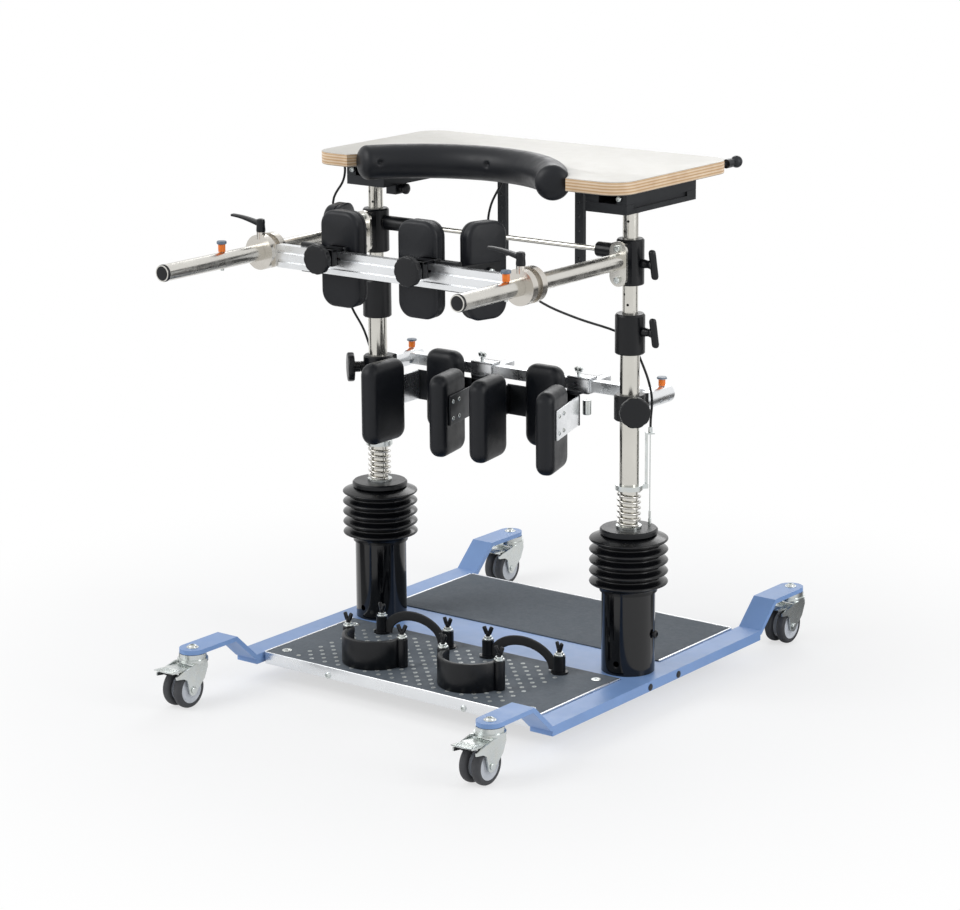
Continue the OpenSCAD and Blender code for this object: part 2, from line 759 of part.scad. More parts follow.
// saddle over the slotted bar, centred on x, its rear face at y = rear
module saddle(x, rear) {
    front = -ring_y - profile_t / 2;
    back = -ring_y + profile_t / 2;
    top = profile_z + profile_height / 2;
    difference() {
        union() {
            box([x - 22, back + 0.3, profile_z - 28], [x + 22, rear, profile_z + 29]);
            box([x - 17, front - 15, top + 0.3], [x + 17, rear, profile_z + 29]);
            box([x - 17, front - 15, profile_z - 4], [x + 17, front - 0.3, profile_z + 29]);
        }
        rod_y(x, front - 20, front - 1, pad_knob_z, 4.1);
    }
}

module rear_pad(x, sx) {
    color(black) {
        translate([x, -313 + pelvis_pad_t / 2, pad_z])
            pad_form(pelvis_pad_w, pelvis_pad_h, pelvis_pad_t, 26);
        saddle(sx, -311);
    }
}

module left_rear_pad() { color(black) on_line() rear_pad(-148, -142); }
module right_rear_pad() { color(black) on_line() rear_pad(40, 76); }

module star(r, t, lobes) {
    linear_extrude(t) difference() {
        circle(r = r);
        for (i = [0:lobes - 1]) rotate([0, 0, 360 / lobes * (i + 0.5)])
            translate([r + 5.5, 0]) circle(r = 8);
    }
}

module pad_knob(x) {
    front = -ring_y - profile_t / 2;
    color(dark) {
        rod_y(x, front - 32, front - 8, pad_knob_z, 4);
        rod_y(x, front - 31, front - 15.3, pad_knob_z, 11);
        translate([x, front - 31, pad_knob_z]) rotate([90, 0, 0]) star(29, 16, 12);
    }
}

module left_pad_knob() { color(dark) on_line() pad_knob(-142); }
module right_pad_knob() { color(dark) on_line() pad_knob(76); }

// side pad of the pelvis support on a slotted arm, right-hand form
module lateral_pad(x) {
    translate([x, -230, pad_z - 2]) rotate([0, 0, -15]) {
        rotate([0, 0, 90]) pad_form(pelvis_pad_w, pelvis_pad_h, pelvis_pad_t - 2, 26);
        difference() {
            box([15, -91, -17], [19, 26, 17]);
            box([14, -80, -3.5], [20, -40, 3.5]);
        }
        rod_x(19, 24, 0, 0, 8);
    }
    saddle(x - 7, -315);
}

module left_lateral_pad() { color(black) on_line() mirror([1, 0, 0]) lateral_pad(215); }
module right_lateral_pad() { color(black) on_line() lateral_pad(136); }

module knee_sleeves() {
    color(black) on_line() both() translate([half, 0, 0]) difference() {
        union() {
            rotate_extrude() polygon([[0, knee_z0], [28, knee_z0], [30, knee_z0 + 2],
                [30, knee_z1 - 3], [27, knee_z1], [0, knee_z1]]);
            box([-17, 0, knee_z0 + 5], [17, 40, knee_z1 - 3]);
            rotate([0, 0, -45]) rod_x(20, 36, 0, knee_height - 2, 11);
        }
        rod_z(0, 0, knee_z0 - 1, knee_z1 + 1, tube_r + run);
        rotate([0, 0, -45]) rod_x(20, 40, 0, knee_height - 2, 4.1);
    }
}

module knee_frame() {
    color(aluminium) on_line() {
        difference() {
            union() {
                both() rod_y(half, 40.2, knee_bar_y + 30, knee_height, 17.5);
                box([-half, knee_bar_y - 11, knee_height - 11],
                    [half, knee_bar_y + 11, knee_height + 11]);
            }
            for (x = [-half + 17.5, half + 17.5])
                for (y = [86, 114])
                    rod_x(x - 8, x + 2, y, knee_height - 6, 4);
            both() rod_z(half, 111, knee_height + 5, knee_height + 30, 3.6);
        }
    }
    color(orange) on_line() both() translate([half, 111, 0]) {
        rod_z(0, 0, knee_height + 5, knee_height + 25, 3.4);
        rod_z(0, 0, knee_height + 17.8, knee_height + 32, 6.5);
        rod_z(0, 0, knee_height + 32, knee_height + 35, 10);
    }
}

module knee_knob() {
    color(dark) rotate([0, 0, -45]) {
        rod_x(23, 48, 0, knee_height - 2, 4);
        rod_x(36.3, 50, 0, knee_height - 2, 10);
        translate([49, 0, knee_height - 2]) rotate([0, 90, 0]) star(30, 15, 10);
    }
}

module left_knee_knob() {
    color(dark) on_line() translate([-half, 0, 0]) mirror([1, 0, 0]) knee_knob();
}
module right_knee_knob() { color(dark) on_line() translate([half, 0, 0]) knee_knob(); }

// centre and turn of each pad: left side, front, right side
left_cup = [[-240, -72, knee_height - 53, 0], [-175, 50, knee_height - 43, 0],
    [-90, -55, knee_height - 59, 13]];
right_cup = [[15, -60, knee_height - 55, 10], [77, 47, knee_height - 42, 0],
    [155, -40, knee_height - 63, 18]];

module knee_pads(cup) {
    for (i = [0, 2]) translate([cup[i][0], cup[i][1], cup[i][2]]) rotate([0, 0, cup[i][3] + 90])
        pad_form(knee_pad_w, knee_pad_h, knee_pad_t, 24);
    translate([cup[1][0], cup[1][1], cup[1][2]])
        pad_form(knee_front_w, knee_pad_h, knee_pad_t, 24);
}

// bent strap behind the three pads, and the clamp that rides on the knee bar
module knee_bracket(cup, x0, x1, sx) {
    back = cup[1][1] + knee_pad_t / 2;
    t = knee_pad_t / 2;
    z = cup[1][2] - 4;
    box([x0, back + 0.2, z - 31], [x1, back + 4.2, z + 31]);
    for (i = [0, 2]) translate([cup[i][0], cup[i][1], z]) rotate([0, 0, cup[i][3]]) {
        s = i == 0 ? -1 : 1;
        reach = (back + 2 - cup[i][1]) / cos(cup[i][3]) - s * t * tan(cup[i][3]);
        box([s > 0 ? t : -t - 4, -34, -30], [s > 0 ? t + 4 : -t, reach, 30]);
        for (y = [-22, 6])
            for (h = [-17, 17])
                rod_x(s > 0 ? t + 4 : -t - 7, s > 0 ? t + 7 : -t - 4, y, h, 4);
    }
    difference() {
        union() {
            box([sx - 18, 84, knee_height - 16], [sx + 34, 116, knee_height + 16]);
            box([sx + 10, 115, knee_height - 9], [sx + 32, 166, knee_height + 7]);
        }
        box([sx - 20, knee_bar_y - 11.3, knee_height - 11.3],
            [sx + 36, knee_bar_y + 11.3, knee_height + 11.3]);
        box([sx + 12, 120, knee_height - 7], [sx + 30, 170, knee_height + 5]);
    }
    box([sx - 6, back + 0.2, z + 20], [sx + 24, back + 4.2, knee_height - 8]);
    box([sx - 6, back + 0.2, knee_height - 15], [sx + 24, 85, knee_height - 8]);
    rod_z(sx, 100, knee_height + 16, knee_height + 27, 3.5);
    box([sx - 9, 97.5, knee_height + 25], [sx + 9, 102.5, knee_height + 33]);
    rod_z(sx + 22, 97, knee_height - 44, knee_height - 14, 9);
}

module left_knee_bracket() { color(dark) on_line() knee_bracket(left_cup, -263, -94, -119); }
module right_knee_bracket() { color(dark) on_line() knee_bracket(right_cup, -32, 145, 120); }
module left_knee_pads() { color(black) on_line() knee_pads(left_cup); }
module right_knee_pads() { color(black) on_line() knee_pads(right_cup); }

module table_top() {
    low = table_top_z - table_thickness;
    color(ply) on_line() difference() {
        translate([0, 0, low]) linear_extrude(table_thickness) difference() {
            translate([0, table_front + table_depth / 2])
                round_rect(table_width, table_depth, 42);
            translate([arc_x, arc_y]) circle(r = cutout_radius, $fn = 180);
        }
        rod_y(stop_x, table_rear - 18, table_rear + 5, stop_knob_z, 4.1);
    }
}

// round end of the padded roll, along +Y from the origin
module roll_end(r) {
    rotate([-90, 0, 0]) rotate_extrude() {
        square([r - 14, 14]);
        intersection() {
            translate([r - 14, 0]) circle(r = 14);
            square([r, 14]);
        }
    }
}

module chest_roll() {
    r = roll_diameter / 2;
    ring = cutout_radius - 28;
    low = table_top_z - table_thickness - 0.3;
    color(black) on_line() translate([arc_x, arc_y, 0]) {
        rotate([0, 0, 90 - roll_sweep])
            rotate_extrude(angle = 2 * roll_sweep, $fn = 180) difference() {
                translate([ring, roll_z]) circle(r = r);
                translate([cutout_radius - 0.4, low]) square([60, 60]);
            }
        for (s = [-1, 1]) rotate([0, 0, s * roll_sweep]) translate([0, ring, roll_z])
            rotate([0, 0, s * 90]) difference() {
                translate([0, -0.01, 0]) roll_end(r - 0.4);
                translate([s > 0 ? cutout_radius - 0.4 - ring : -99 - cutout_radius + 0.4 + ring,
                    -1, low - roll_z]) cube([99, 40, 60]);
            }
    }
}

// upper halves of the table slides, perforated posts and the rear stop knob
module table_rails() {
    top = table_top_z - table_thickness - 0.2;
    color(dark) on_line() {
        both() {
            difference() {
                box([244, -55, 986.2], [338, 181, top]);
                box([274.6, -60, 985], [315.4, 190, 1002.4]);
            }
            box([290, 180, 1004], [338, 232, top]);
            rod_y(322, -58, -55, 997, 5);
        }
        rod_y(stop_x, table_rear - 16, 310, stop_knob_z, 4);
        rod_y(stop_x, 276, 293, stop_knob_z, 9);
        translate([stop_x, 314, stop_knob_z]) sphere(r = 12);
        both() difference() {
            union() {
                box([85, 135, 818], [105, 145, top]);
                box([70, 110, top - 4], [120, 170, top]);
            }
            for (i = [0:5])
                rod_y(95, 130, 150, 832 + i * 28, 3);
        }
        box([-48, 56, 1004.3], [-20, 82, top]);
        box([-366, -66, 1004.3], [-338.5, -38, top]);
    }
}

module release_knob() {
    color(dark) on_line() {
        rod_x(-246, -230, -10, 961, 4);
        rod_x(-237.6, -226, -10, 961, 9);
        rod_x(-229, -219, -10, 961, 11);
    }
}

base_frame();
front_deck();
rear_deck();
deck_trim();
column_housings();
bellows();
heel_cups();
foot_posts();
instep_straps();
foot_knobs();
front_left_fork();
front_left_wheels();
front_left_pedal();
front_right_fork();
front_right_wheels();
front_right_pedal();
rear_left_fork();
rear_left_wheels();
rear_left_pedal();
rear_right_fork();
rear_right_wheels();
rear_right_pedal();
outer_tubes();
cap_discs();
springs();
collars();
clamp_sleeves();
left_height_knob();
right_height_knob();
lock_cables();
inner_tubes();
table_brackets();
pelvis_sleeves();
handlebars();
cross_rod();
left_pelvis_knob();
right_pelvis_knob();
handlebar_pins();
ring_clamps();
profile_bar();
left_lever();
right_lever();
left_rear_pad();
right_rear_pad();
left_pad_knob();
right_pad_knob();
left_lateral_pad();
right_lateral_pad();
knee_sleeves();
knee_frame();
left_knee_knob();
right_knee_knob();
left_knee_bracket();
right_knee_bracket();
left_knee_pads();
right_knee_pads();
table_top();
chest_roll();
table_rails();
release_knob();
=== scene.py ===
"""Looks of a wheeled dynamic standing frame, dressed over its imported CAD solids.

Sizes are in millimetres, measured from the line between the two column axes:
X to the right column, Y the way the user faces, Z up from the floor.
"""

from __future__ import annotations

import logging
import math
from dataclasses import dataclass, field
from enum import Enum
from typing import Callable, Optional, Sequence

import bmesh
import bpy
from mathutils import Matrix, Vector
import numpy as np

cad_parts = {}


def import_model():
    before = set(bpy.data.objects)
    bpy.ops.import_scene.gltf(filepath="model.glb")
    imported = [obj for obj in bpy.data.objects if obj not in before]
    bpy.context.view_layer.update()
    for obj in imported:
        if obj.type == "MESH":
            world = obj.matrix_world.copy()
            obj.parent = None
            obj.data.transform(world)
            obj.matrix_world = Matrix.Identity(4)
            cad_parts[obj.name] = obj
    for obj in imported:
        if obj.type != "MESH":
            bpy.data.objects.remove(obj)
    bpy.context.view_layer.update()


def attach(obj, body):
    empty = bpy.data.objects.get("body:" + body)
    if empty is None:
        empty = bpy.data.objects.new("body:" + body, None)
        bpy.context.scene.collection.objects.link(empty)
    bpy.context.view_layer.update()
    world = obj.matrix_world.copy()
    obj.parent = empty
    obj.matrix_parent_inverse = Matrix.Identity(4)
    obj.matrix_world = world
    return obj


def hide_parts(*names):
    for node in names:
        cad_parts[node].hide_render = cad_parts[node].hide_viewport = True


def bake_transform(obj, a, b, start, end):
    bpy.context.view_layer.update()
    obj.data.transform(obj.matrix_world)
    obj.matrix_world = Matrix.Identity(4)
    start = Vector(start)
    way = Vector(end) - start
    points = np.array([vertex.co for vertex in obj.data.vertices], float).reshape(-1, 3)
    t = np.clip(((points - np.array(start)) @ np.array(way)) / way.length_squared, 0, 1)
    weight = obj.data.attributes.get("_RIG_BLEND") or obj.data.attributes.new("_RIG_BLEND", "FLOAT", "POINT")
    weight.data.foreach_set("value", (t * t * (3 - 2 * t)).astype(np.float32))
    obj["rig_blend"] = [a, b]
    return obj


LOG = logging.getLogger("standing_frame")
COLUMN_Y = 39.0  # the column line lies this far behind the part's origin
HALF = 310.0  # half the distance between the columns
DECK_TOP = 62.0  # height of both foot decks
CORNER_X = 363.5  # the casters' swivel axes, seen from the middle
CORNER_Y = 520.0
SIDES = ((-1, "left"), (1, "right"))
WHITE = (1.0, 1.0, 1.0, 1.0)

Flat = list[tuple[float, float]]
Point = tuple[float, float, float]
Ring = list[Vector]
Socket = bpy.types.NodeSocket
Tree = bpy.types.NodeTree


def linear(hex_text: str) -> tuple[float, float, float, float]:
    """Turns an sRGB colour into the linear one that Blender's sockets take.

    Args:
        hex_text: the colour as #rrggbb.

    Returns:
        The linear red, green, blue and an alpha of 1.
    """
    parts = [int(hex_text[i : i + 2], 16) / 255 for i in (1, 3, 5)]
    turned = [c / 12.92 if c <= 0.04045 else ((c + 0.055) / 1.055) ** 2.4 for c in parts]
    return (turned[0], turned[1], turned[2], 1.0)


def shade(hex_text: str, factor: float) -> tuple[float, float, float, float]:
    """Returns a colour made lighter or darker by a factor, as linear values."""
    r, g, b, a = linear(hex_text)
    return (min(r * factor, 1.0), min(g * factor, 1.0), min(b * factor, 1.0), a)


def add(tree: Tree, kind: str, links: Optional[dict] = None, **settings: object) -> bpy.types.Node:
    """Adds a node with its settings and links.

    Args:
        tree: the node tree that gets the node.
        kind: the node's type name.
        links: input name or number to a value, or to the socket it is linked from.
        settings: the node's own attributes.

    Returns:
        The new node.
    """
    made = tree.nodes.new(kind)
    for name, value in settings.items():
        setattr(made, name, value)
    for key, value in (links or {}).items():
        if isinstance(value, Socket):
            tree.links.new(value, made.inputs[key])
        else:
            made.inputs[key].default_value = value
    return made


class Surface(Enum):
    """How a finish was made, which sets its pattern."""

    POWDER = "powder coated"
    MOULDED = "moulded"
    SKIN = "integral skin foam"
    BRUSHED = "brushed"
    POLISHED = "polished"
    PLATED = "zinc plated"
    RUBBER = "rubber"
    WOVEN = "woven"
    PRESSED = "pressed laminate"
    LAYERED = "layered veneer"


@dataclass(frozen=True)
class Finish:
    """One finish of the frame: a real material and how its surface was made.

    Attributes:
        name: the material's name.
        slot: the name of a material slot; not used.
        colour: its main colour, sRGB.
        surface: how it was made.
        metallic: 1 for bare metal.
        roughness: the middle of its roughness.
        ior: index of refraction, left at the default for metals.
        grain_mm: the size of its texture on the real thing.
        relief_mm: how deep that texture is.
        drift: how far its tone wanders over the surface; on foam skin, also how much darker its grain creases
            are painted as shade.
        coat: weight of a clear top layer.
        along: 0, 1 or 2, the axis that a brushed grain runs along.
    """

    name: str
    slot: str
    colour: str
    surface: Surface
    metallic: float = 0.0
    roughness: float = 0.5
    ior: float = 1.5
    grain_mm: float = 1.0
    relief_mm: float = 0.03
    drift: float = 0.08
    coat: float = 0.0
    along: int = 2

    def make(self) -> bpy.types.Material:
        """Builds the material, or returns the one already built."""
        if self.name in bpy.data.materials:
            return bpy.data.materials[self.name]
        made = bpy.data.materials.new(self.name)
        made.use_nodes = True
        tree = made.node_tree
        tree.nodes.clear()
        shader = add(
            tree,
            "ShaderNodeBsdfPrincipled",
            {"Metallic": self.metallic, "IOR": self.ior, "Coat Weight": self.coat, "Coat Roughness": 0.08},
        )
        coords = add(tree, "ShaderNodeTexCoord").outputs["Object"]
        tone, height, rough = self.pattern(tree, coords)
        relief = {"Distance": self.relief_mm / 1000, "Strength": 1.0, "Height": height}
        bump = add(tree, "ShaderNodeBump", relief)
        tree.links.new(tone, shader.inputs["Base Color"])
        tree.links.new(rough, shader.inputs["Roughness"])
        tree.links.new(bump.outputs["Normal"], shader.inputs["Normal"])
        add(tree, "ShaderNodeOutputMaterial", {"Surface": shader.outputs["BSDF"]})
        made.diffuse_color = linear(self.colour)
        return made

    def noise(self, tree: Tree, coords: Socket, size_mm: float, detail: float = 3.0) -> Socket:
        """Noise whose blobs are about size_mm across; returns its factor."""
        made = add(tree, "ShaderNodeTexNoise", {"Vector": coords, "Scale": 1000 / size_mm, "Detail": detail})
        return made.outputs["Fac"]

    def between(self, tree: Tree, fac: Socket, low: float, high: float) -> Socket:
        """Stretches a factor's middle to run from low to high."""
        made = add(
            tree,
            "ShaderNodeMapRange",
            {"Value": fac, "From Min": 0.3, "From Max": 0.7, "To Min": low, "To Max": high},
        )
        return made.outputs["Result"]

    def tones(self, tree: Tree, fac: Socket, dark: float, light: float) -> Socket:
        """Mixes a darker and a lighter form of the colour by a factor."""
        made = add(
            tree,
            "ShaderNodeMix",
            {0: fac, 6: shade(self.colour, dark), 7: shade(self.colour, light)},
            data_type="RGBA",
        )
        return made.outputs[2]

    def stretched(self, tree: Tree, coords: Socket, factor: float) -> Socket:
        """Coordinates pressed along one axis, so that noise draws streaks along it."""
        scale = [1.0, 1.0, 1.0]
        scale[self.along] = factor
        return add(tree, "ShaderNodeMapping", {"Vector": coords, "Scale": scale}).outputs["Vector"]

    def pattern(
        self, tree: Tree, coords: Socket
    ) -> tuple[Socket, Socket, Socket]:
        """Builds the pattern of this surface.

        Args:
            tree: the material's node tree.
            coords: the object coordinates.

        Returns:
            The sockets of colour, height and roughness.
        """
        wide = self.between(tree, self.noise(tree, coords, 70.0, 2.0), 0.0, 1.0)
        tone = self.tones(tree, wide, 1 - self.drift, 1 + self.drift)
        fine = self.noise(tree, coords, self.grain_mm)
        height = fine
        spread = 0.05
        if self.surface in (Surface.BRUSHED, Surface.POLISHED):
            streaks = self.stretched(tree, coords, 0.02 if self.surface is Surface.BRUSHED else 0.15)
            height = self.noise(tree, streaks, self.grain_mm, 4.0)
            spread = 0.07
        elif self.surface is Surface.PLATED:
            cells = add(tree, "ShaderNodeTexVoronoi", {"Vector": coords, "Scale": 1000 / self.grain_mm})
            tint = add(
                tree,
                "ShaderNodeMix",
                {0: self.noise(tree, coords, 14.0), 6: linear("#cfdbe0"), 7: linear("#d9d3b8")},
                data_type="RGBA",
            )
            mixed = {0: 0.35, 6: tone, 7: tint.outputs[2]}
            tone = add(tree, "ShaderNodeMix", mixed, data_type="RGBA").outputs[2]
            height = cells.outputs["Distance"]
            spread = 0.1
        elif self.surface is Surface.SKIN:
            cells = add(
                tree,
                "ShaderNodeTexVoronoi",
                {"Vector": coords, "Scale": 1000 / self.grain_mm},
                feature="DISTANCE_TO_EDGE",
            )
            creases = add(
                tree, "ShaderNodeMapRange", {"Value": cells.outputs["Distance"], "From Max": 0.18}
            ).outputs["Result"]
            blend = add(tree, "ShaderNodeMath", {0: creases, 1: fine}, operation="MULTIPLY")
            height = blend.outputs[0]
            # Crease lines are painted darker and cell middles lighter: painted shade in the grain.
            tone = self.tones(tree, creases, 1 - self.drift * 2, 1 + self.drift)
            spread = 0.06
        elif self.surface is Surface.WOVEN:
            wave = {"Vector": coords, "Scale": 1000 / (self.grain_mm * 6.28), "Distortion": 0.3}
            warp, weft = (
                add(tree, "ShaderNodeTexWave", wave, bands_direction=way).outputs["Fac"]
                for way in ("X", "DIAGONAL")
            )
            height = add(tree, "ShaderNodeMath", {0: warp, 1: weft}, operation="MULTIPLY").outputs[0]
            # Raised threads are painted lighter and hollows darker: painted highlight and painted shade.
            tone = self.tones(tree, height, 0.75, 1.2)
        elif self.surface is Surface.PRESSED:
            specks = self.between(tree, self.noise(tree, coords, 2.2, 5.0), 0.0, 1.0)
            tone = self.tones(tree, specks, 1 - self.drift, 1.0)
        elif self.surface is Surface.LAYERED:
            tone = self.veneers(tree, coords)
            height = self.noise(tree, self.stretched(tree, coords, 12.0), 5.0, 4.0)
        elif self.surface is Surface.RUBBER:
            dust = self.between(tree, self.noise(tree, coords, 9.0, 5.0), 0.0, 1.0)
            tone = self.tones(tree, dust, 1 - self.drift, 1 + self.drift)
        rough = self.between(
            tree,
            self.noise(tree, coords, 24.0, 4.0),
            max(self.roughness - spread, 0.03),
            min(self.roughness + spread, 1.0),
        )
        return tone, height, rough

    def veneers(self, tree: Tree, coords: Socket) -> Socket:
        """Plies seen on a cut edge: pale and brown layers by height, streaked by the grain."""
        up = add(tree, "ShaderNodeSeparateXYZ", {"Vector": coords}).outputs["Z"]
        level = add(
            tree, "ShaderNodeMapRange", {"Value": up, "From Min": 1.013, "From Max": 1.038}
        ).outputs["Result"]
        ramp = add(tree, "ShaderNodeValToRGB", {"Fac": level})
        ramp.color_ramp.interpolation = "CONSTANT"
        stops = ramp.color_ramp.elements
        stops[0].position, stops[0].color = 0.0, linear("#6d675f")
        stops[1].position, stops[1].color = 0.05, linear("#e8d0b0")
        for position, hex_text in (
            (0.17, "#cfa97e"),
            (0.27, "#ecd6b8"),
            (0.4, "#cba378"),
            (0.5, "#ead3b4"),
            (0.62, "#cfa97e"),
            (0.72, "#edd8bb"),
            (0.84, "#cfa97e"),
            (0.92, "#e8d0b0"),
            (0.965, "#57524c"),
        ):
            stops.new(position).color = linear(hex_text)
        streak = self.between(tree, self.noise(tree, coords, 26.0, 6.0), 0.0, 0.25)
        return add(
            tree,
            "ShaderNodeMix",
            {0: streak, 6: ramp.outputs["Color"], 7: linear("#a06c3c")},
            data_type="RGBA",
        ).outputs[2]


# Powder coat bakes to a satin skin with a fine orange peel.
BLUE = Finish(
    "powder_coated_steel_blue", "base_paint", "#7b9dd0", Surface.POWDER,
    roughness=0.36, grain_mm=1.6, relief_mm=0.05, drift=0.05,
)
# Ribbed rubber matting is dull, with dust in its grooves.
DECK = Finish(
    "ribbed_rubber_mat_grey", "deck_plate", "#5a626a", Surface.RUBBER,
    roughness=0.62, grain_mm=1.8, relief_mm=0.12, drift=0.1,
)
# Gloss black enamel on tube mirrors the studio in tall soft bands.
ENAMEL = Finish(
    "gloss_enamel_black", "column_paint", "#06070a", Surface.POWDER,
    roughness=0.12, ior=1.42, grain_mm=4.0, relief_mm=0.02, drift=0.04, coat=0.2,
)
# Glass-filled nylon is moulded with a faint spark texture.
NYLON = Finish(
    "moulded_nylon_black", "black_plastic", "#0b0d11", Surface.MOULDED,
    roughness=0.34, ior=1.38, grain_mm=0.9, relief_mm=0.04,
)
# Smooth polypropylene knobs are a little glossier than the sleeves.
KNOB = Finish(
    "polypropylene_knob_black", "black_plastic", "#0e1014", Surface.MOULDED,
    roughness=0.32, ior=1.38, grain_mm=1.4, relief_mm=0.02,
)
# Dipped rubber shows wet-looking highlights along its ribs.
BELLOWS = Finish(
    "moulded_rubber_black", "bellows_rubber", "#08090c", Surface.RUBBER,
    roughness=0.22, ior=1.4, grain_mm=2.5, relief_mm=0.03, drift=0.06,
)
# Tyre rubber is grey from the floor.
TYRE = Finish(
    "tyre_rubber_grey", "tyre_rubber", "#3c3d40", Surface.RUBBER,
    roughness=0.68, grain_mm=1.2, relief_mm=0.08, drift=0.14,
)
# Integral skin foam copies a leather grain from its mould; its crease lines are painted darker as shade.
PAD = Finish(
    "integral_skin_foam_black", "pad_foam", "#0e1117", Surface.SKIN,
    roughness=0.42, ior=1.38, grain_mm=2.0, relief_mm=0.07, drift=0.06,
)
# Stainless tube is polished along its length.
STEEL = Finish(
    "polished_stainless_tube", "tube_steel", "#cfcdc6", Surface.POLISHED,
    metallic=1.0, roughness=0.2, grain_mm=1.6, relief_mm=0.0015, drift=0.04,
)
# The handlebars are polished along Y.
BAR_STEEL = Finish(
    "polished_stainless_bar", "tube_steel", "#d2d0ca", Surface.POLISHED,
    metallic=1.0, roughness=0.25, grain_mm=1.6, relief_mm=0.0015, drift=0.04, along=1,
)
# Spring wire is bright drawn steel.
WIRE = Finish(
    "drawn_spring_wire", "bright_chrome", "#c9c7c2", Surface.POLISHED,
    metallic=1.0, roughness=0.14, grain_mm=2.0, relief_mm=0.004,
)
# Zinc plate has fine crystals with blue and straw tints.
ZINC = Finish(
    "bright_zinc_plate", "zinc_plate", "#c6cbce", Surface.PLATED,
    metallic=1.0, roughness=0.26, grain_mm=2.4, relief_mm=0.012, drift=0.08,
)
# The deck's inserts are dull from shoes.
STUD = Finish(
    "dull_zinc_plate", "zinc_plate", "#a3a8ad", Surface.PLATED,
    metallic=0.5, roughness=0.5, grain_mm=2.4, relief_mm=0.012, drift=0.08,
)
# Extruded aluminium is satin anodised with draw lines along X.
PROFILE = Finish(
    "anodised_aluminium_profile", "raw_aluminium", "#e6e8ea", Surface.BRUSHED,
    metallic=1.0, roughness=0.29, grain_mm=0.8, relief_mm=0.002, drift=0.03, along=0,
)
# Turned aluminium rings show fine tool rings round Y.
TURNED = Finish(
    "turned_aluminium", "raw_aluminium", "#cdc9c2", Surface.BRUSHED,
    metallic=1.0, roughness=0.24, grain_mm=0.9, relief_mm=0.003, drift=0.04, along=1,
)
# Table slides are dark anodised.
SLIDE = Finish(
    "anodised_aluminium_dark", "black_plastic", "#2e3033", Surface.BRUSHED,
    metallic=0.6, roughness=0.38, grain_mm=0.9, relief_mm=0.01, along=1,
)
# Orange acetal pull pins are saturated and slightly waxy.
ORANGE = Finish(
    "acetal_orange", "pin_orange", "#f07a1c", Surface.MOULDED,
    roughness=0.36, grain_mm=1.2, relief_mm=0.02, drift=0.05,
)
# Grey acetal heads sit on the pins.
GREY = Finish(
    "acetal_grey", "black_plastic", "#617182", Surface.MOULDED,
    roughness=0.36, grain_mm=1.2, relief_mm=0.02, drift=0.05,
)
# Hubs are pale grey nylon.
HUB = Finish(
    "moulded_nylon_pale_grey", "tyre_rubber", "#c6cad0", Surface.MOULDED,
    roughness=0.4, grain_mm=1.2, relief_mm=0.03, drift=0.05,
)
# High-pressure laminate is matt with a fine speckle.
LAMINATE = Finish(
    "pressed_laminate_pale_grey", "table_ply", "#d6d3cb", Surface.PRESSED,
    roughness=0.42, grain_mm=0.7, relief_mm=0.015, drift=0.05,
)
# The table's cut edge shows lacquered birch plies.
BIRCH = Finish(
    "lacquered_birch_plywood", "table_ply", "#dcb486", Surface.LAYERED,
    roughness=0.4, relief_mm=0.03,
)
# Strap webbing has a twill of about 1.5 mm, its raised threads painted lighter and its hollows darker as
# painted highlight and painted shade.
WEBBING = Finish(
    "woven_webbing_black", "strap_rubber", "#101113", Surface.WOVEN,
    roughness=0.6, grain_mm=1.6, relief_mm=0.12,
)


def circle(radius: float, count: int = 48) -> Flat:
    """Points of a circle, counted round from the X axis."""
    turn = 2 * math.pi / count
    return [(radius * math.cos(i * turn), radius * math.sin(i * turn)) for i in range(count)]


def rounded_rectangle(width: float, height: float, corner: float, inset: float = 0.0, steps: int = 7) -> Flat:
    """Outline of a rounded rectangle, drawn in by inset.

    Args:
        width: size along the first direction.
        height: size along the second direction.
        corner: radius of the corners before the inset.
        inset: how far the outline is drawn in.
        steps: segments of each corner.

    Returns:
        Four corners of steps + 1 points each.
    """
    radius = max(corner - inset, 0.6)
    points = []
    for quarter in range(4):
        sx = 1 if quarter in (0, 3) else -1
        sy = 1 if quarter < 2 else -1
        cx = sx * max(width / 2 - inset - radius, 0.0)
        cy = sy * max(height / 2 - inset - radius, 0.0)
        for i in range(steps + 1):
            angle = math.radians(90 * quarter + 90 * i / steps)
            points.append((cx + radius * math.cos(angle), cy + radius * math.sin(angle)))
    return points


def lobed(radius: float, depth: float, lobes: int, inset: float = 0.0, count: int = 144) -> Flat:
    """Outline of a round knob with shallow finger scallops."""
    points = []
    for i in range(count):
        angle = 2 * math.pi * i / count
        scallop = depth * (0.5 - 0.5 * math.cos(lobes * angle)) ** 2
        r = max(radius - scallop - inset, 1.0)
        points.append((r * math.cos(angle), r * math.sin(angle)))
    return points


def softened(low: float, high: float, radius: float, steps: int = 4) -> Flat:
    """Insets and heights of a body whose two rims are rounded.

    Args:
        low: height of the lower face.
        high: height of the upper face.
        radius: radius of the rims.
        steps: segments of each rim.

    Returns:
        Pairs of inset and height, from the lower face to the upper.
    """
    rim = [math.radians(90 * i / steps) for i in range(steps + 1)]
    lower = [(radius * (1 - math.sin(a)), low + radius * (1 - math.cos(a))) for a in rim]
    return lower + [(inset, high - (height - low)) for inset, height in reversed(lower)]


def turned(origin: Sequence[float], axis: Sequence[float], roll: float = 0.0) -> Matrix:
    """Matrix that carries a body drawn along Z to an origin and an axis.

    Args:
        origin: where the drawing's origin goes.
        axis: where its Z goes.
        roll: turn about that axis first, in degrees.

    Returns:
        The matrix, in millimetres.
    """
    spin = Vector((0, 0, 1)).rotation_difference(Vector(axis).normalized()).to_matrix().to_4x4()
    return Matrix.Translation(Vector(origin)) @ spin @ Matrix.Rotation(math.radians(roll), 4, "Z")


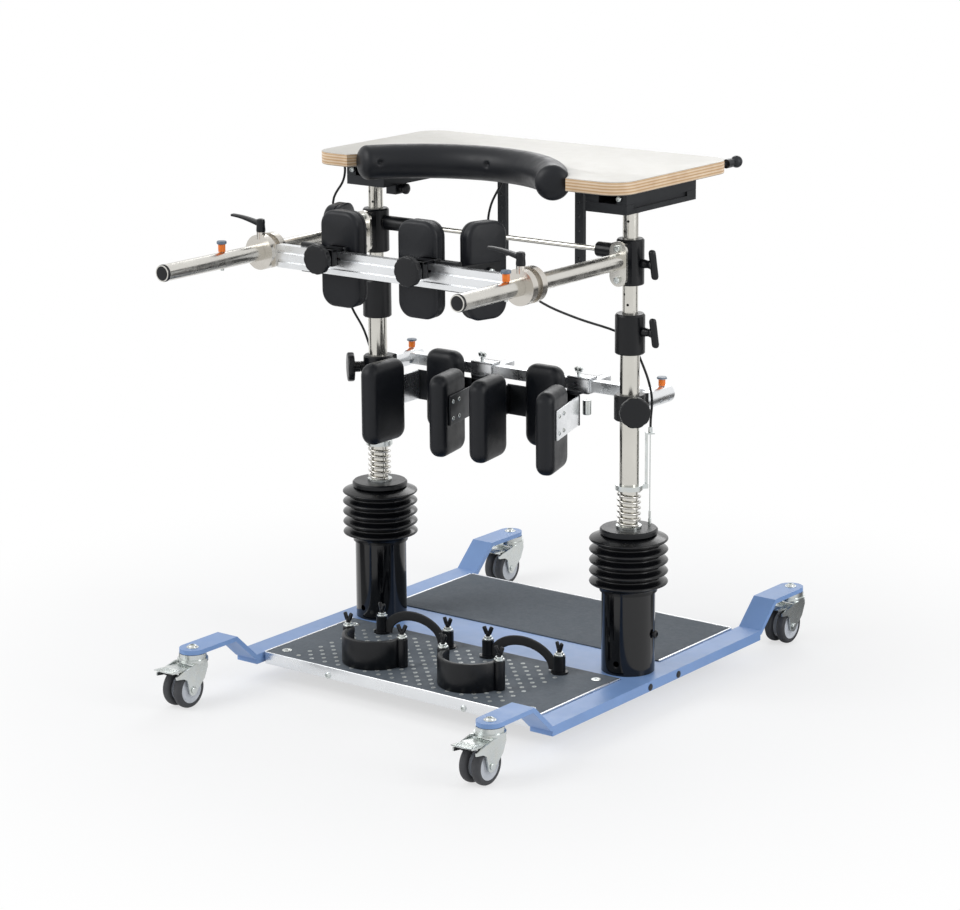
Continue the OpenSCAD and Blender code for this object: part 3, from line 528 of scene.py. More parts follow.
class Shape:
    """A mesh drawn in millimetres from the column line, built of stacked rings."""

    def __init__(self) -> None:
        """Starts with no points."""
        self.points: list[Vector] = []
        self.faces: list[tuple[int, ...]] = []

    def stack(self, rings: Sequence[Ring], closed: bool = False) -> "Shape":
        """Joins rings of equal length by quads.

        Args:
            rings: the rings in order.
            closed: joins the last ring to the first, where both ends get a cap otherwise.

        Returns:
            The shape itself.
        """
        start, size = len(self.points), len(rings[0])
        for ring in rings:
            self.points.extend(ring)
        last = len(rings) if closed else len(rings) - 1
        for i in range(last):
            for k in range(size):
                a, b = start + i * size, start + ((i + 1) % len(rings)) * size
                n = (k + 1) % size
                self.faces.append((a + k, a + n, b + n, b + k))
        if not closed:
            self.faces.append(tuple(start + k for k in reversed(range(size))))
            self.faces.append(tuple(start + (len(rings) - 1) * size + k for k in range(size)))
        return self

    def column(
        self, outline: Callable[[float], Flat], levels: Sequence[tuple[float, float]], where: Matrix
    ) -> "Shape":
        """Stacks one outline over several levels.

        Args:
            outline: gives the outline for an inset.
            levels: pairs of inset and height.
            where: carries the drawing to its place.

        Returns:
            The shape itself.
        """
        return self.stack([[where @ Vector((u, v, z)) for u, v in outline(inset)] for inset, z in levels])

    def disc(
        self, radius: float, low: float, high: float, rim: float, where: Matrix, count: int = 48
    ) -> "Shape":
        """Adds a round body with soft rims."""
        return self.column(lambda d: circle(max(radius - d, 0.2), count), softened(low, high, rim), where)

    def block(self, low: Sequence[float], high: Sequence[float], rim: float = 1.5) -> "Shape":
        """Adds a box between two corners, with all edges softened."""
        size = [b - a for a, b in zip(low, high)]
        middle = [(a + b) / 2 for a, b in zip(low, high)]
        rim = min(rim, min(size) / 2.05)
        where = Matrix.Translation(Vector(middle))
        return self.column(
            lambda d: rounded_rectangle(size[0], size[1], rim + 0.01, d, 4),
            softened(-size[2] / 2, size[2] / 2, rim, 3),
            where,
        )

    def spun(self, profile: Flat, where: Matrix, count: int = 64, closed: bool = False) -> "Shape":
        """Revolves pairs of radius and height; closed joins the profile's ends."""
        rings = [[where @ Vector((u, v, z)) for u, v in circle(max(r, 0.15), count)] for r, z in profile]
        return self.stack(rings, closed=closed)

    def along(
        self,
        path: Sequence[Sequence[float]],
        section: Callable[[float], Flat],
        up: Sequence[float] = (0, 0, 1),
    ) -> "Shape":
        """Sweeps a section along a path.

        Args:
            path: the points followed.
            section: gives the section for a share of the way from 0 to 1.
            up: the direction that the section's second axis keeps to.

        Returns:
            The shape itself.
        """
        points = [Vector(p) for p in path]
        rings = []
        for i, point in enumerate(points):
            heading = (points[min(i + 1, len(points) - 1)] - points[max(i - 1, 0)]).normalized()
            side = heading.cross(Vector(up))
            side = side.normalized() if side.length > 1e-6 else Vector((1, 0, 0))
            top = side.cross(heading).normalized()
            rings.append([point + u * side + v * top for u, v in section(i / (len(points) - 1))])
        return self.stack(rings)

    def flat_plate(self, outline: Flat, low: float, high: float, rim: float) -> "Shape":
        """Extrudes any closed outline, drawing its rims in along the outline's own normals."""
        count = len(outline)
        spin = sum(
            outline[i][0] * outline[(i + 1) % count][1] - outline[(i + 1) % count][0] * outline[i][1]
            for i in range(count)
        )
        turn = 1 if spin > 0 else -1
        normals = []
        for i in range(count):
            before = Vector(outline[i]) - Vector(outline[i - 1])
            after = Vector(outline[(i + 1) % count]) - Vector(outline[i])
            normal = Vector((0.0, 0.0))
            for edge in (before, after):
                if edge.length > 1e-9:
                    normal += Vector((edge.y, -edge.x)).normalized() * turn
            normals.append(normal.normalized() if normal.length > 1e-9 else Vector((0, 0)))

        def drawn(inset: float) -> Flat:
            """The outline drawn in by an inset."""
            return [(p[0] - n.x * inset, p[1] - n.y * inset) for p, n in zip(outline, normals)]

        return self.column(drawn, softened(low, high, rim, 2), Matrix.Identity(4))

    def mirrored(self) -> "Shape":
        """Returns a copy on the other side of the frame."""
        other = Shape()
        other.points = [Vector((-p.x, p.y, p.z)) for p in self.points]
        other.faces = [tuple(reversed(f)) for f in self.faces]
        return other

    def join(self, other: "Shape") -> "Shape":
        """Takes in another shape."""
        start = len(self.points)
        self.points.extend(other.points)
        self.faces.extend(tuple(start + i for i in f) for f in other.faces)
        return self

    def mesh(self, name: str) -> bpy.types.Mesh:
        """Builds the mesh in metres, in the part's frame, with faces pointing outwards."""
        made = bpy.data.meshes.new(name)
        offset = Vector((0, COLUMN_Y, 0))
        made.from_pydata([(p + offset) / 1000 for p in self.points], [], self.faces)
        outward(made)
        return made


def outward(mesh: bpy.types.Mesh) -> None:
    """Turns a mesh's faces so that they all point outwards."""
    work = bmesh.new()
    work.from_mesh(mesh)
    bmesh.ops.recalc_face_normals(work, faces=work.faces)
    work.to_mesh(mesh)
    work.free()


def linked(name: str, data: bpy.types.ID) -> bpy.types.Object:
    """Puts a new object that holds this mesh, lamp or camera into the scene."""
    made = bpy.data.objects.new(name, data)
    bpy.context.scene.collection.objects.link(made)
    return made


def smooth(mesh: bpy.types.Mesh, angle: float = 40.0) -> None:
    """Shades a mesh smooth, keeping edges sharper than an angle."""
    mesh.shade_smooth()
    mesh.set_sharp_from_angle(angle=math.radians(angle))


def finished(name: str, shape: Shape, finish: Finish, angle: float) -> bpy.types.Object:
    """Turns a shape into a smooth object with its finish, which no body carries yet."""
    mesh = shape.mesh(name)
    smooth(mesh, angle)
    mesh.materials.append(finish.make())
    return linked(name, mesh)


def piece(
    name: str, shape: Shape, finish: Finish, body: str, replaces: Sequence[str] = (), angle: float = 40.0
) -> bpy.types.Object:
    """Turns a shape into a finished piece that rides on a body.

    Args:
        name: the piece's name.
        shape: its shape.
        finish: its finish.
        body: the CAD body that it rides on.
        replaces: CAD nodes that it stands for.
        angle: edges sharper than this stay sharp.

    Returns:
        The new object.
    """
    return settle(finished(name, shape, finish, angle), body, replaces)


def settle(
    made: bpy.types.Object, body: str, replaces: Sequence[str] = ()
) -> bpy.types.Object:
    """Lets a finished object ride on its body."""
    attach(made, body)
    if replaces:
        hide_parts(*replaces)
    LOG.info("%s rides on %s, %d faces", made.name, body, len(made.data.polygons))
    return made


def dress(finish: Finish, *nodes: str) -> None:
    """Gives CAD nodes a finish of their own."""
    for name in nodes:
        carried = bpy.data.objects[name]
        carried.data.materials.clear()
        carried.data.materials.append(finish.make())
        LOG.info("%s is finished as %s", name, finish.name)


def curved(points: Sequence[Sequence[float]], steps: int) -> list[Vector]:
    """Runs a smooth curve through points, with steps segments between each pair."""
    knots = [Vector(p) for p in points]
    made = []
    for i in range(len(knots) - 1):
        a, b = knots[max(i - 1, 0)], knots[i]
        c, d = knots[i + 1], knots[min(i + 2, len(knots) - 1)]
        for j in range(steps):
            t = j / steps
            made.append(
                0.5
                * (
                    2 * b
                    + (c - a) * t
                    + (2 * a - 5 * b + 4 * c - d) * t * t
                    + (3 * b - a - 3 * c + d) * t * t * t
                )
            )
    made.append(knots[-1])
    return made


class NodeModel:
    """A Geometry Nodes tree with named inputs, run once and kept as a plain mesh."""

    def __init__(self, name: str) -> None:
        """Starts a tree with a geometry input and output."""
        self.tree = bpy.data.node_groups.new(name, "GeometryNodeTree")
        self.tree.interface.new_socket("Geometry", in_out="INPUT", socket_type="NodeSocketGeometry")
        self.tree.interface.new_socket("Geometry", in_out="OUTPUT", socket_type="NodeSocketGeometry")
        self.source = self.tree.nodes.new("NodeGroupInput")
        self.values: dict[str, object] = {}

    def size(self, name: str, value: object, kind: str = "NodeSocketFloat") -> Socket:
        """Adds a named input with its value and returns its socket inside the tree."""
        self.tree.interface.new_socket(name, in_out="INPUT", socket_type=kind)
        self.values[name] = value
        return self.source.outputs[name]

    def add(self, kind: str, links: Optional[dict] = None, **settings: object) -> bpy.types.Node:
        """Adds a node to the tree."""
        return add(self.tree, kind, links, **settings)

    def close(self, geometry: Socket, finish: Finish) -> None:
        """Ends the tree in Realize Instances and Set Material."""
        solid = self.add("GeometryNodeRealizeInstances", {"Geometry": geometry}).outputs["Geometry"]
        soft = self.add("GeometryNodeSetShadeSmooth", {"Geometry": solid}).outputs["Geometry"]
        painted = self.add(
            "GeometryNodeSetMaterial", {"Geometry": soft, "Material": finish.make()}
        ).outputs["Geometry"]
        self.add("NodeGroupOutput", {"Geometry": painted})

    def piece(
        self,
        name: str,
        base: bpy.types.Mesh,
        finish: Finish,
        body: str,
        replaces: Sequence[str] = (),
        angle: float = 40.0,
    ) -> bpy.types.Object:
        """Runs the tree on a mesh and keeps the result as a finished piece.

        Args:
            name: the piece's name.
            base: the mesh that the tree starts from, in metres.
            finish: the finish of the result.
            body: the body it rides on.
            replaces: CAD nodes that it stands for.
            angle: edges sharper than this stay sharp.

        Returns:
            The new object.
        """
        carrier = linked(name + "_points", base)
        modifier = carrier.modifiers.new("nodes", "NODES")
        modifier.node_group = self.tree
        for item in self.tree.interface.items_tree:
            if item.in_out == "INPUT" and item.name in self.values:
                modifier[item.identifier] = self.values[item.name]
        evaluated = carrier.evaluated_get(bpy.context.evaluated_depsgraph_get())
        mesh = bpy.data.meshes.new_from_object(evaluated)
        mesh.name = name
        bpy.data.objects.remove(carrier)
        for attribute in [a for a in mesh.attributes if a.name in ("facing", "size")]:
            mesh.attributes.remove(attribute)
        if not mesh.materials:
            mesh.materials.append(finish.make())
        smooth(mesh, angle)
        return settle(linked(name, mesh), body, replaces)


def cloud(
    name: str,
    points: Sequence[Sequence[float]],
    facing: Sequence[Sequence[float]] = (),
    sizes: Sequence[float] = (),
) -> bpy.types.Mesh:
    """A mesh of loose points in metres, with a direction and a size at each.

    Args:
        name: the mesh's name.
        points: places in millimetres from the column line.
        facing: the direction that each instance looks in.
        sizes: the size of each instance in millimetres.

    Returns:
        The mesh.
    """
    mesh = bpy.data.meshes.new(name)
    mesh.from_pydata([(x / 1000, (y + COLUMN_Y) / 1000, z / 1000) for x, y, z in points], [], [])
    if facing:
        layer = mesh.attributes.new("facing", "FLOAT_VECTOR", "POINT")
        layer.data.foreach_set("vector", [float(c) for v in facing for c in v])
    if sizes:
        layer = mesh.attributes.new("size", "FLOAT", "POINT")
        layer.data.foreach_set("value", [float(s) / 1000 for s in sizes])
    return mesh


class Head(Enum):
    """Kinds of screw head used on the frame."""

    BUTTON = "domed, hexagon socket"
    SOCKET = "tall, hexagon socket"
    SUNK = "countersunk, hexagon socket"


@dataclass
class Screws:
    """A set of like screws on one body, placed by Geometry Nodes.

    Attributes:
        name: the piece's name.
        body: the body that carries them.
        head: the kind of head.
        finish: their finish.
        at: rows of place, direction and head radius in millimetres.
    """

    name: str
    body: str
    head: Head
    finish: Finish
    at: list[tuple[Sequence[float], Sequence[float], float]]

    def head_mesh(self) -> bpy.types.Object:
        """One head of radius 1, its socket cut as a hexagonal well."""
        tall = {Head.BUTTON: 0.55, Head.SOCKET: 0.95, Head.SUNK: 0.12}[self.head]
        rim = {Head.BUTTON: 0.5, Head.SOCKET: 0.12, Head.SUNK: 0.05}[self.head]
        levels = [(1.0, 0.0)]
        for i in range(4):
            a = math.radians(30 * i)
            levels.append((1 - rim * (1 - math.cos(a)), tall - rim * (1 - math.sin(a))))
        rings = [[Vector((x, y, z)) for x, y in circle(r, 24)] for r, z in levels]
        top = levels[-1][1]
        for r, z in ((0.5, top), (0.47, top - 0.04), (0.45, top - 0.34)):
            hexagon = [r / math.cos((i % 4 - 2) * math.pi / 12) for i in range(24)]
            rings.append([Vector((x * k, y * k, z)) for (x, y), k in zip(circle(1.0, 24), hexagon)])
        shape = Shape().stack(rings)
        mesh = bpy.data.meshes.new(self.name + "_head")
        mesh.from_pydata(shape.points, [], shape.faces)
        outward(mesh)
        return linked(self.name + "_head", mesh)

    def build(self) -> bpy.types.Object:
        """Places one head at each point and returns the piece."""
        head = self.head_mesh()
        model = NodeModel(self.name + "_set")
        shape = model.size("Head", head, "NodeSocketObject")
        scale = model.size("Head Scale", 1.0)
        info = model.add("GeometryNodeObjectInfo", {"Object": shape}, transform_space="ORIGINAL")
        facing = model.add("GeometryNodeInputNamedAttribute", {"Name": "facing"}, data_type="FLOAT_VECTOR")
        radius = model.add("GeometryNodeInputNamedAttribute", {"Name": "size"}, data_type="FLOAT")
        turn = model.add(
            "FunctionNodeAlignRotationToVector", {"Vector": facing.outputs["Attribute"]}, axis="Z"
        )
        grown = model.add("ShaderNodeMath", {0: radius.outputs["Attribute"], 1: scale}, operation="MULTIPLY")
        placed = model.add(
            "GeometryNodeInstanceOnPoints",
            {
                "Points": model.source.outputs["Geometry"],
                "Instance": info.outputs["Geometry"],
                "Rotation": turn.outputs["Rotation"],
                "Scale": grown.outputs[0],
            },
        )
        model.close(placed.outputs["Instances"], self.finish)
        base = cloud(self.name, *zip(*self.at))
        made = model.piece(self.name, base, self.finish, self.body, angle=32)
        bpy.data.objects.remove(head)
        return made


@dataclass(frozen=True)
class Wings:
    """The two leaning wings of a wing screw.

    Attributes:
        width: size of a wing along the screw's X.
        thick: its size across.
        corner: radius of its corners.
        low: its lower end, from its own middle.
        high: its upper end.
        rim: radius of both ends.
        steps: segments of corners and ends.
        out: distance of its middle from the screw's axis.
        up: height of its middle above the screw's origin.
        lean: how far it leans outwards, in radians.
    """

    width: float
    thick: float
    corner: float
    low: float
    high: float
    rim: float
    steps: int
    out: float
    up: float
    lean: float

    def outline(self, inset: float) -> Flat:
        """Outline of one wing."""
        return rounded_rectangle(self.width, self.thick, self.corner, inset, self.steps)

    def add_to(self, shape: Shape, where: Matrix) -> None:
        """Adds both wings to a screw that stands at where."""
        levels = softened(self.low, self.high, self.rim, self.steps)
        for s in (-1, 1):
            tilt = Matrix.Translation((s * self.out, 0, self.up)) @ Matrix.Rotation(s * self.lean, 4, "Y")
            shape.column(self.outline, levels, where @ tilt)


FOOT_WINGS = Wings(
    width=8.6, thick=5.6, corner=2.6, low=-7.4, high=9.4, rim=2.4, steps=4, out=5.2, up=18.6, lean=0.38
)
KNEE_WINGS = Wings(
    width=9.6, thick=4.8, corner=2.3, low=-5.0, high=4.6, rim=2.1, steps=3, out=4.8, up=12.2, lean=0.4
)


@dataclass
class Studio:
    """Camera, floor and soft lamps.

    Attributes:
        target: what the camera looks at, in millimetres from the column line.
        back: direction from the target to the camera.
        distance: how far away the camera stands, in millimetres.
        roll: turn of the picture, in degrees.
        lens: focal length on a 36 mm sensor.
        gaps: where the studio is dark between its softboxes, in degrees from the camera.
        gap_edges: cosines of the angles at which a gap starts and is full.
        gap_light: how bright the middle of a gap is.
        shadow_reach: distances in metres over which the floor's own light takes over.
        near_share: share of that light close to the frame, where the shadow shows.
        lamp_aim: height in metres that every lamp looks at.
        lamps: name, place and size in metres, and power in watts of each softbox.
    """

    target: Point = (-31.66, -25.0, 446.45)
    back: Point = (0.5871, -0.7718, 0.2441)
    distance: float = 5857.8
    roll: float = -0.37
    lens: float = 110.45
    gaps: tuple[float, ...] = (-104.0, 104.0)
    gap_edges: tuple[float, float] = (0.965, 0.99)
    gap_light: float = 0.06
    shadow_reach: tuple[float, float] = (0.55, 1.5)
    near_share: float = 0.62
    lamp_aim: float = 0.5
    lamps: tuple[tuple[str, Point, tuple[float, float], float], ...] = (
        ("key_softbox", (-2.4, -3.2, 3.4), (2.6, 2.6), 88.0),
        ("side_softbox", (3.6, 0.4, 2.0), (1.2, 3.0), 44.0),
        ("rear_softbox", (-1.6, 3.6, 2.6), (2.4, 1.6), 34.0),
    )

    def camera(self) -> None:
        """Stands the camera at the photograph's angle."""
        seen = bpy.data.cameras.new("camera")
        seen.lens, seen.sensor_width = self.lens, 36.0
        seen.clip_start, seen.clip_end = 0.1, 60.0
        made = linked("camera", seen)
        back = Vector(self.back).normalized()
        spot = Vector(self.target) + back * self.distance
        spot.y += COLUMN_Y
        turn = (-back).to_track_quat("-Z", "Y").to_matrix().to_4x4()
        made.matrix_world = (
            Matrix.Translation(spot / 1000) @ turn @ Matrix.Rotation(math.radians(self.roll), 4, "Z")
        )
        bpy.context.scene.camera = made

    @staticmethod
    def seen(tree: Tree) -> Socket:
        """1 for a ray from the camera, or one mirrored or passed on by a surface."""
        path = add(tree, "ShaderNodeLightPath")
        seen = path.outputs["Is Camera Ray"]
        for other in ("Is Glossy Ray", "Is Transmission Ray"):
            either = {0: seen, 1: path.outputs[other]}
            seen = add(tree, "ShaderNodeMath", either, operation="MAXIMUM").outputs[0]
        return seen

    def floor(self) -> None:
        """Lays a wide pale floor that shows white to the camera but keeps the shadow."""
        mesh = bpy.data.meshes.new("floor")
        mesh.from_pydata([(-9, -9, 0), (9, -9, 0), (9, 9, 0), (-9, 9, 0)], [], [(0, 1, 2, 3)])
        paint = bpy.data.materials.new("matt_studio_floor")
        paint.use_nodes = True
        tree = paint.node_tree
        tree.nodes.clear()
        coords = add(tree, "ShaderNodeTexCoord").outputs["Object"]
        cloud_noise = add(tree, "ShaderNodeTexNoise", {"Vector": coords, "Scale": 1.5})
        tone = add(
            tree,
            "ShaderNodeMix",
            {0: cloud_noise.outputs["Fac"], 6: linear("#f6f6f6"), 7: linear("#fbfbfb")},
            data_type="RGBA",
        )
        matt = add(tree, "ShaderNodeBsdfPrincipled", {"Base Color": tone.outputs[2], "Roughness": 0.9})
        far = add(tree, "ShaderNodeVectorMath", {0: coords}, operation="LENGTH").outputs["Value"]
        clear = add(
            tree,
            "ShaderNodeMapRange",
            {
                "Value": far,
                "From Min": self.shadow_reach[0],
                "From Max": self.shadow_reach[1],
                "To Min": self.near_share,
                "To Max": 1.0,
            },
            interpolation_type="SMOOTHSTEP",
        ).outputs["Result"]
        share = add(tree, "ShaderNodeMath", {0: clear, 1: self.seen(tree)}, operation="MULTIPLY").outputs[0]
        strength = self.between_lamps(tree, coords)
        white = add(tree, "ShaderNodeEmission", {"Color": WHITE, "Strength": strength})
        mixed = add(
            tree, "ShaderNodeMixShader", {0: share, 1: matt.outputs["BSDF"], 2: white.outputs["Emission"]}
        )
        add(tree, "ShaderNodeOutputMaterial", {"Surface": mixed.outputs["Shader"]})
        mesh.materials.append(paint)
        linked("floor", mesh)

    def lamp(self, name: str, spot: Sequence[float], size: tuple[float, float], power: float) -> None:
        """Hangs a soft rectangular lamp that looks at the frame's middle."""
        light = bpy.data.lights.new(name, "AREA")
        light.shape, light.size, light.size_y, light.energy = "RECTANGLE", size[0], size[1], power
        made = linked(name, light)
        aim = Vector((0, 0, self.lamp_aim)) - Vector(spot)
        turn = aim.to_track_quat("-Z", "Y").to_matrix().to_4x4()
        made.matrix_world = Matrix.Translation(Vector(spot)) @ turn

    def between_lamps(self, tree: Tree, coords: Socket) -> Socket:
        """1, but low for mirrored rays that go between the softboxes, where the studio is dark.

        Args:
            tree: the node tree of the floor.
            coords: where the ray meets the floor.

        Returns:
            The socket of the strength.
        """
        level = add(tree, "ShaderNodeVectorMath", {0: coords, 1: (1.0, 1.0, 0.0)}, operation="MULTIPLY")
        level = add(tree, "ShaderNodeVectorMath", {0: level.outputs["Vector"]}, operation="NORMALIZE")
        front = math.atan2(self.back[1], self.back[0])
        dark = None
        for side in self.gaps:
            a = front + math.radians(side)
            near = add(
                tree,
                "ShaderNodeVectorMath",
                {0: level.outputs["Vector"], 1: (math.cos(a), math.sin(a), 0.0)},
                operation="DOT_PRODUCT",
            ).outputs["Value"]
            strip = add(
                tree,
                "ShaderNodeMapRange",
                {
                    "Value": near,
                    "From Min": self.gap_edges[0],
                    "From Max": self.gap_edges[1],
                    "To Min": 1.0,
                    "To Max": self.gap_light,
                },
                interpolation_type="SMOOTHSTEP",
            ).outputs["Result"]
            if dark is None:
                dark = strip
            else:
                dark = add(tree, "ShaderNodeMath", {0: dark, 1: strip}, operation="MULTIPLY").outputs[0]
        direct = add(tree, "ShaderNodeLightPath").outputs["Is Camera Ray"]
        return add(tree, "ShaderNodeMath", {0: dark, 1: direct}, operation="MAXIMUM").outputs[0]

    def world(self) -> None:
        """A white studio: white to the camera and in gloss, plainer as a light."""
        made = bpy.data.worlds.new("studio")
        bpy.context.scene.world = made
        made.use_nodes = True
        tree = made.node_tree
        tree.nodes.clear()
        seen = self.seen(tree)
        plain = add(tree, "ShaderNodeBackground", {"Color": (0.9, 0.92, 0.95, 1.0), "Strength": 0.55})
        white = add(tree, "ShaderNodeBackground", {"Color": WHITE, "Strength": 1.0})
        mixed = add(
            tree,
            "ShaderNodeMixShader",
            {0: seen, 1: plain.outputs["Background"], 2: white.outputs["Background"]},
        )
        add(tree, "ShaderNodeOutputWorld", {"Surface": mixed.outputs["Shader"]})

    def build(self) -> None:
        """Sets up the whole studio."""
        self.camera()
        self.floor()
        self.world()
        for name, spot, size, power in self.lamps:
            self.lamp(name, spot, size, power)
        bpy.context.scene.view_settings.view_transform = "Standard"


@dataclass
class Ribs:
    """Fine parallel ribs of a rubber mat, laid by Geometry Nodes.

    Attributes:
        name: the piece's name.
        length: length of a rib.
        pitch: distance between ribs.
        low: the first rib's Y.
        high: the last rib's Y.
        top: height that the ribs stand on.
        rise: how far they stand proud.
    """

    name: str
    length: float
    pitch: float
    low: float
    high: float
    top: float
    rise: float = 0.7

    def build(self, finish: Finish, body: str) -> bpy.types.Object:
        """Lays the ribs along X and returns the piece."""
        model = NodeModel(self.name + "_set")
        length = model.size("Rib Length", self.length / 1000)
        pitch = model.size("Rib Pitch", self.pitch / 1000)
        count = model.size("Rib Count", int((self.high - self.low) / self.pitch) + 1, "NodeSocketInt")
        radius = model.size("Rib Radius", self.pitch / 2000 * 0.62)
        step = model.add("ShaderNodeCombineXYZ", {"Y": pitch})
        row = model.add("GeometryNodeMeshLine", {"Count": count, "Offset": step.outputs["Vector"]})
        bar = model.add(
            "GeometryNodeMeshCylinder", {"Vertices": 8, "Radius": radius, "Depth": length}, fill_type="NGON"
        )
        placed = model.add(
            "GeometryNodeInstanceOnPoints",
            {
                "Points": row.outputs["Mesh"],
                "Instance": bar.outputs["Mesh"],
                "Rotation": (0.0, math.pi / 2, 0.0),
            },
        )
        squat = self.rise / (self.pitch * 0.31)
        origin = (0.0, (self.low + COLUMN_Y) / 1000, self.top / 1000)
        moved = model.add(
            "GeometryNodeTransform",
            {"Geometry": placed.outputs["Instances"], "Translation": origin, "Scale": (1.0, 1.0, squat)},
        )
        model.close(moved.outputs["Geometry"], finish)
        return model.piece(self.name, bpy.data.meshes.new(self.name), finish, body)


@dataclass
class Base:
    """Blue base with its decks, edges, bolts and foot rests.

    Attributes:
        front_edge: Y of the front deck's free edge.
        rear_edge: Y of the rear deck's free edge.
        deck_half: half the width of the decks.
        insert_pitch: distance between the deck's threaded inserts.
        posts: X of the posts that hold the instep bands.
        post_y: Y of those posts.
        cups: X of the heel cups' middles.
        cup_y: Y of the line between a cup's two ears.
        cup_radius: radius of a cup's outer face.
        cup_height: how far a cup stands above the deck.
        arm_top: height of the arms where the casters are bolted.
        housing: radius of the column housings.
    """

    front_edge: float = -341.0
    rear_edge: float = 337.0
    deck_half: float = 331.5
    insert_pitch: float = 17.0
    posts: tuple[float, ...] = (-223.0, -54.0, 47.0, 221.0)
    post_y: float = -106.0
    cups: tuple[float, ...] = (-119.0, 119.0)
    cup_y: float = -256.0
    cup_radius: float = 66.0
    cup_height: float = 58.0
    arm_top: float = 112.0
    housing: float = 56.0

    def edges(self) -> None:
        """Light metal edges of both decks."""
        half, front, rear = self.deck_half, self.front_edge, self.rear_edge
        shape = Shape()
        shape.block((-half, front - 3, 38), (half, front, DECK_TOP + 0.6), 1.2)
        shape.block((-half, front - 2.9, 38), (half, front + 9, 41), 1.0)
        shape.block((-half, rear + 0.4, DECK_TOP - 8), (half, rear + 3, DECK_TOP + 1), 0.8)
        for side in (-1, 1):
            inner, outer = sorted((side * (half + 0.8), side * (half + 4.6)))
            shape.block((inner, front + 0.5, DECK_TOP - 8), (outer, -63.5, DECK_TOP + 1), 0.8)
            shape.block((inner, 72.5, DECK_TOP - 8), (outer, rear, DECK_TOP + 1), 0.8)
        piece("deck_edges", shape, PROFILE, "base", ["deck_trim"])

    def bolts(self) -> None:
        """Bolts of the arms, the deck and its front rim."""
        arms = [
            ((sx * CORNER_X, sy * CORNER_Y, self.arm_top), (0, 0, 1), 9.4)
            for sx in (-1, 1)
            for sy in (-1, 1)
        ]
        Screws("arm_bolts", "base", Head.BUTTON, ZINC, arms).build()
        washers = Shape()
        for spot, _, _ in arms:
            washers.disc(12.0, -0.2, 1.0, 0.5, Matrix.Translation(spot))
        piece("arm_washers", washers, ZINC, "base")
        deck = [((x, y, DECK_TOP + 0.2), (0, 0, 1), 10.0) for x in (-302, 302) for y in (-311, -97)]
        Screws("deck_screws", "base", Head.SUNK, ZINC, deck).build()
        rim = [((x, self.front_edge - 3, 45.0), (0, -1, 0), 6.6) for x in (-168, 168)]
        Screws("rim_screws", "base", Head.BUTTON, ZINC, rim).build()
        across, along = math.cos(math.radians(12)), math.sin(math.radians(12))
        r = self.housing
        side = [((s * (HALF + r * across), r * along, 138.0), (s * across, along, 0), 9.0) for s in (-1, 1)]
        Screws("housing_screws", "base", Head.BUTTON, KNOB, side).build()
        plugs = Shape()
        for s in (-1, 1):
            for y in (-39, 59):
                plugs.disc(7.0, -0.6, 1.0, 0.5, turned((s * (CORNER_X + 26), y, 48), (s, 0, 0)), 32)
        piece("rail_plugs", plugs, NYLON, "base")

    def inserts(self) -> None:
        """Small bright threaded inserts in the front deck, in staggered pairs."""
        spots = []
        for row in range(14):
            y = -322 + row * self.insert_pitch
            for column in range(15):
                x = -262 + column * 2 * self.insert_pitch + (self.insert_pitch if row % 2 else 0)
                if x < 258:
                    spots.append(((x, y, DECK_TOP + 0.3), (0, 0, 1), 4.5))
        Screws("deck_inserts", "base", Head.SUNK, STUD, spots).build()

    def heel_cup(self, x: float) -> Shape:
        """One open cup: a wall with a lip, bent round the heel, between two round ears."""
        radius, y = self.cup_radius - 5.5, self.cup_y
        path = [(x + radius, y + 4, 0)]
        for i in range(41):
            a = math.radians(-180 * i / 40)
            path.append((x + radius * math.cos(a), y + radius * math.sin(a), 0))
        path.append((x - radius, y + 4, 0))
        low, high = DECK_TOP + 0.3, DECK_TOP + self.cup_height
        wall: Flat = [
            (-4.4, low), (4.2, low), (5.5, low + 1.5), (5.5, low + 3), (4.6, low + 4), (4.6, high - 11),
            (5.5, high - 10), (5.5, high - 2.5), (4.6, high - 0.7), (2.5, high), (-2.5, high),
            (-4.6, high - 0.7), (-5.5, high - 2.5), (-5.5, low + 1.5),
        ]  # fmt: skip
        shape = Shape().along(path, lambda _: wall)
        for side in (-1, 1):
            where = Matrix.Translation((x + side * (self.cup_radius + 2), y, 0))
            shape.disc(11.4, low, high + 1, 1.8, where, 36)
        return shape

    def wing_screws(self) -> None:
        """White collars and black two-winged screws on the posts and ears."""
        nuts, wings = Shape(), Shape()
        ear, ear_top = self.cup_radius + 2, DECK_TOP + self.cup_height + 1.2
        spots = [(x, self.post_y, DECK_TOP + 35.2) for x in self.posts]
        spots += [(x + s * ear, self.cup_y, ear_top) for x in self.cups for s in (-1, 1)]
        for i, (x, y, z) in enumerate(spots):
            where = Matrix.Translation((x, y, z)) @ Matrix.Rotation(math.radians(17 * i % 50 - 20), 4, "Z")
            nuts.disc(10.4, 0, 3.8, 1.0, where, 32)
            nuts.disc(7.6, 3.4, 8.2, 1.0, where, 28)
            wings.disc(4.6, 7.8, 15.5, 1.0, where, 20)
            FOOT_WINGS.add_to(wings, where)
        piece("foot_screw_collars", nuts, ZINC, "base", ["foot_knobs"])
        piece("foot_wing_screws", wings, KNOB, "base")

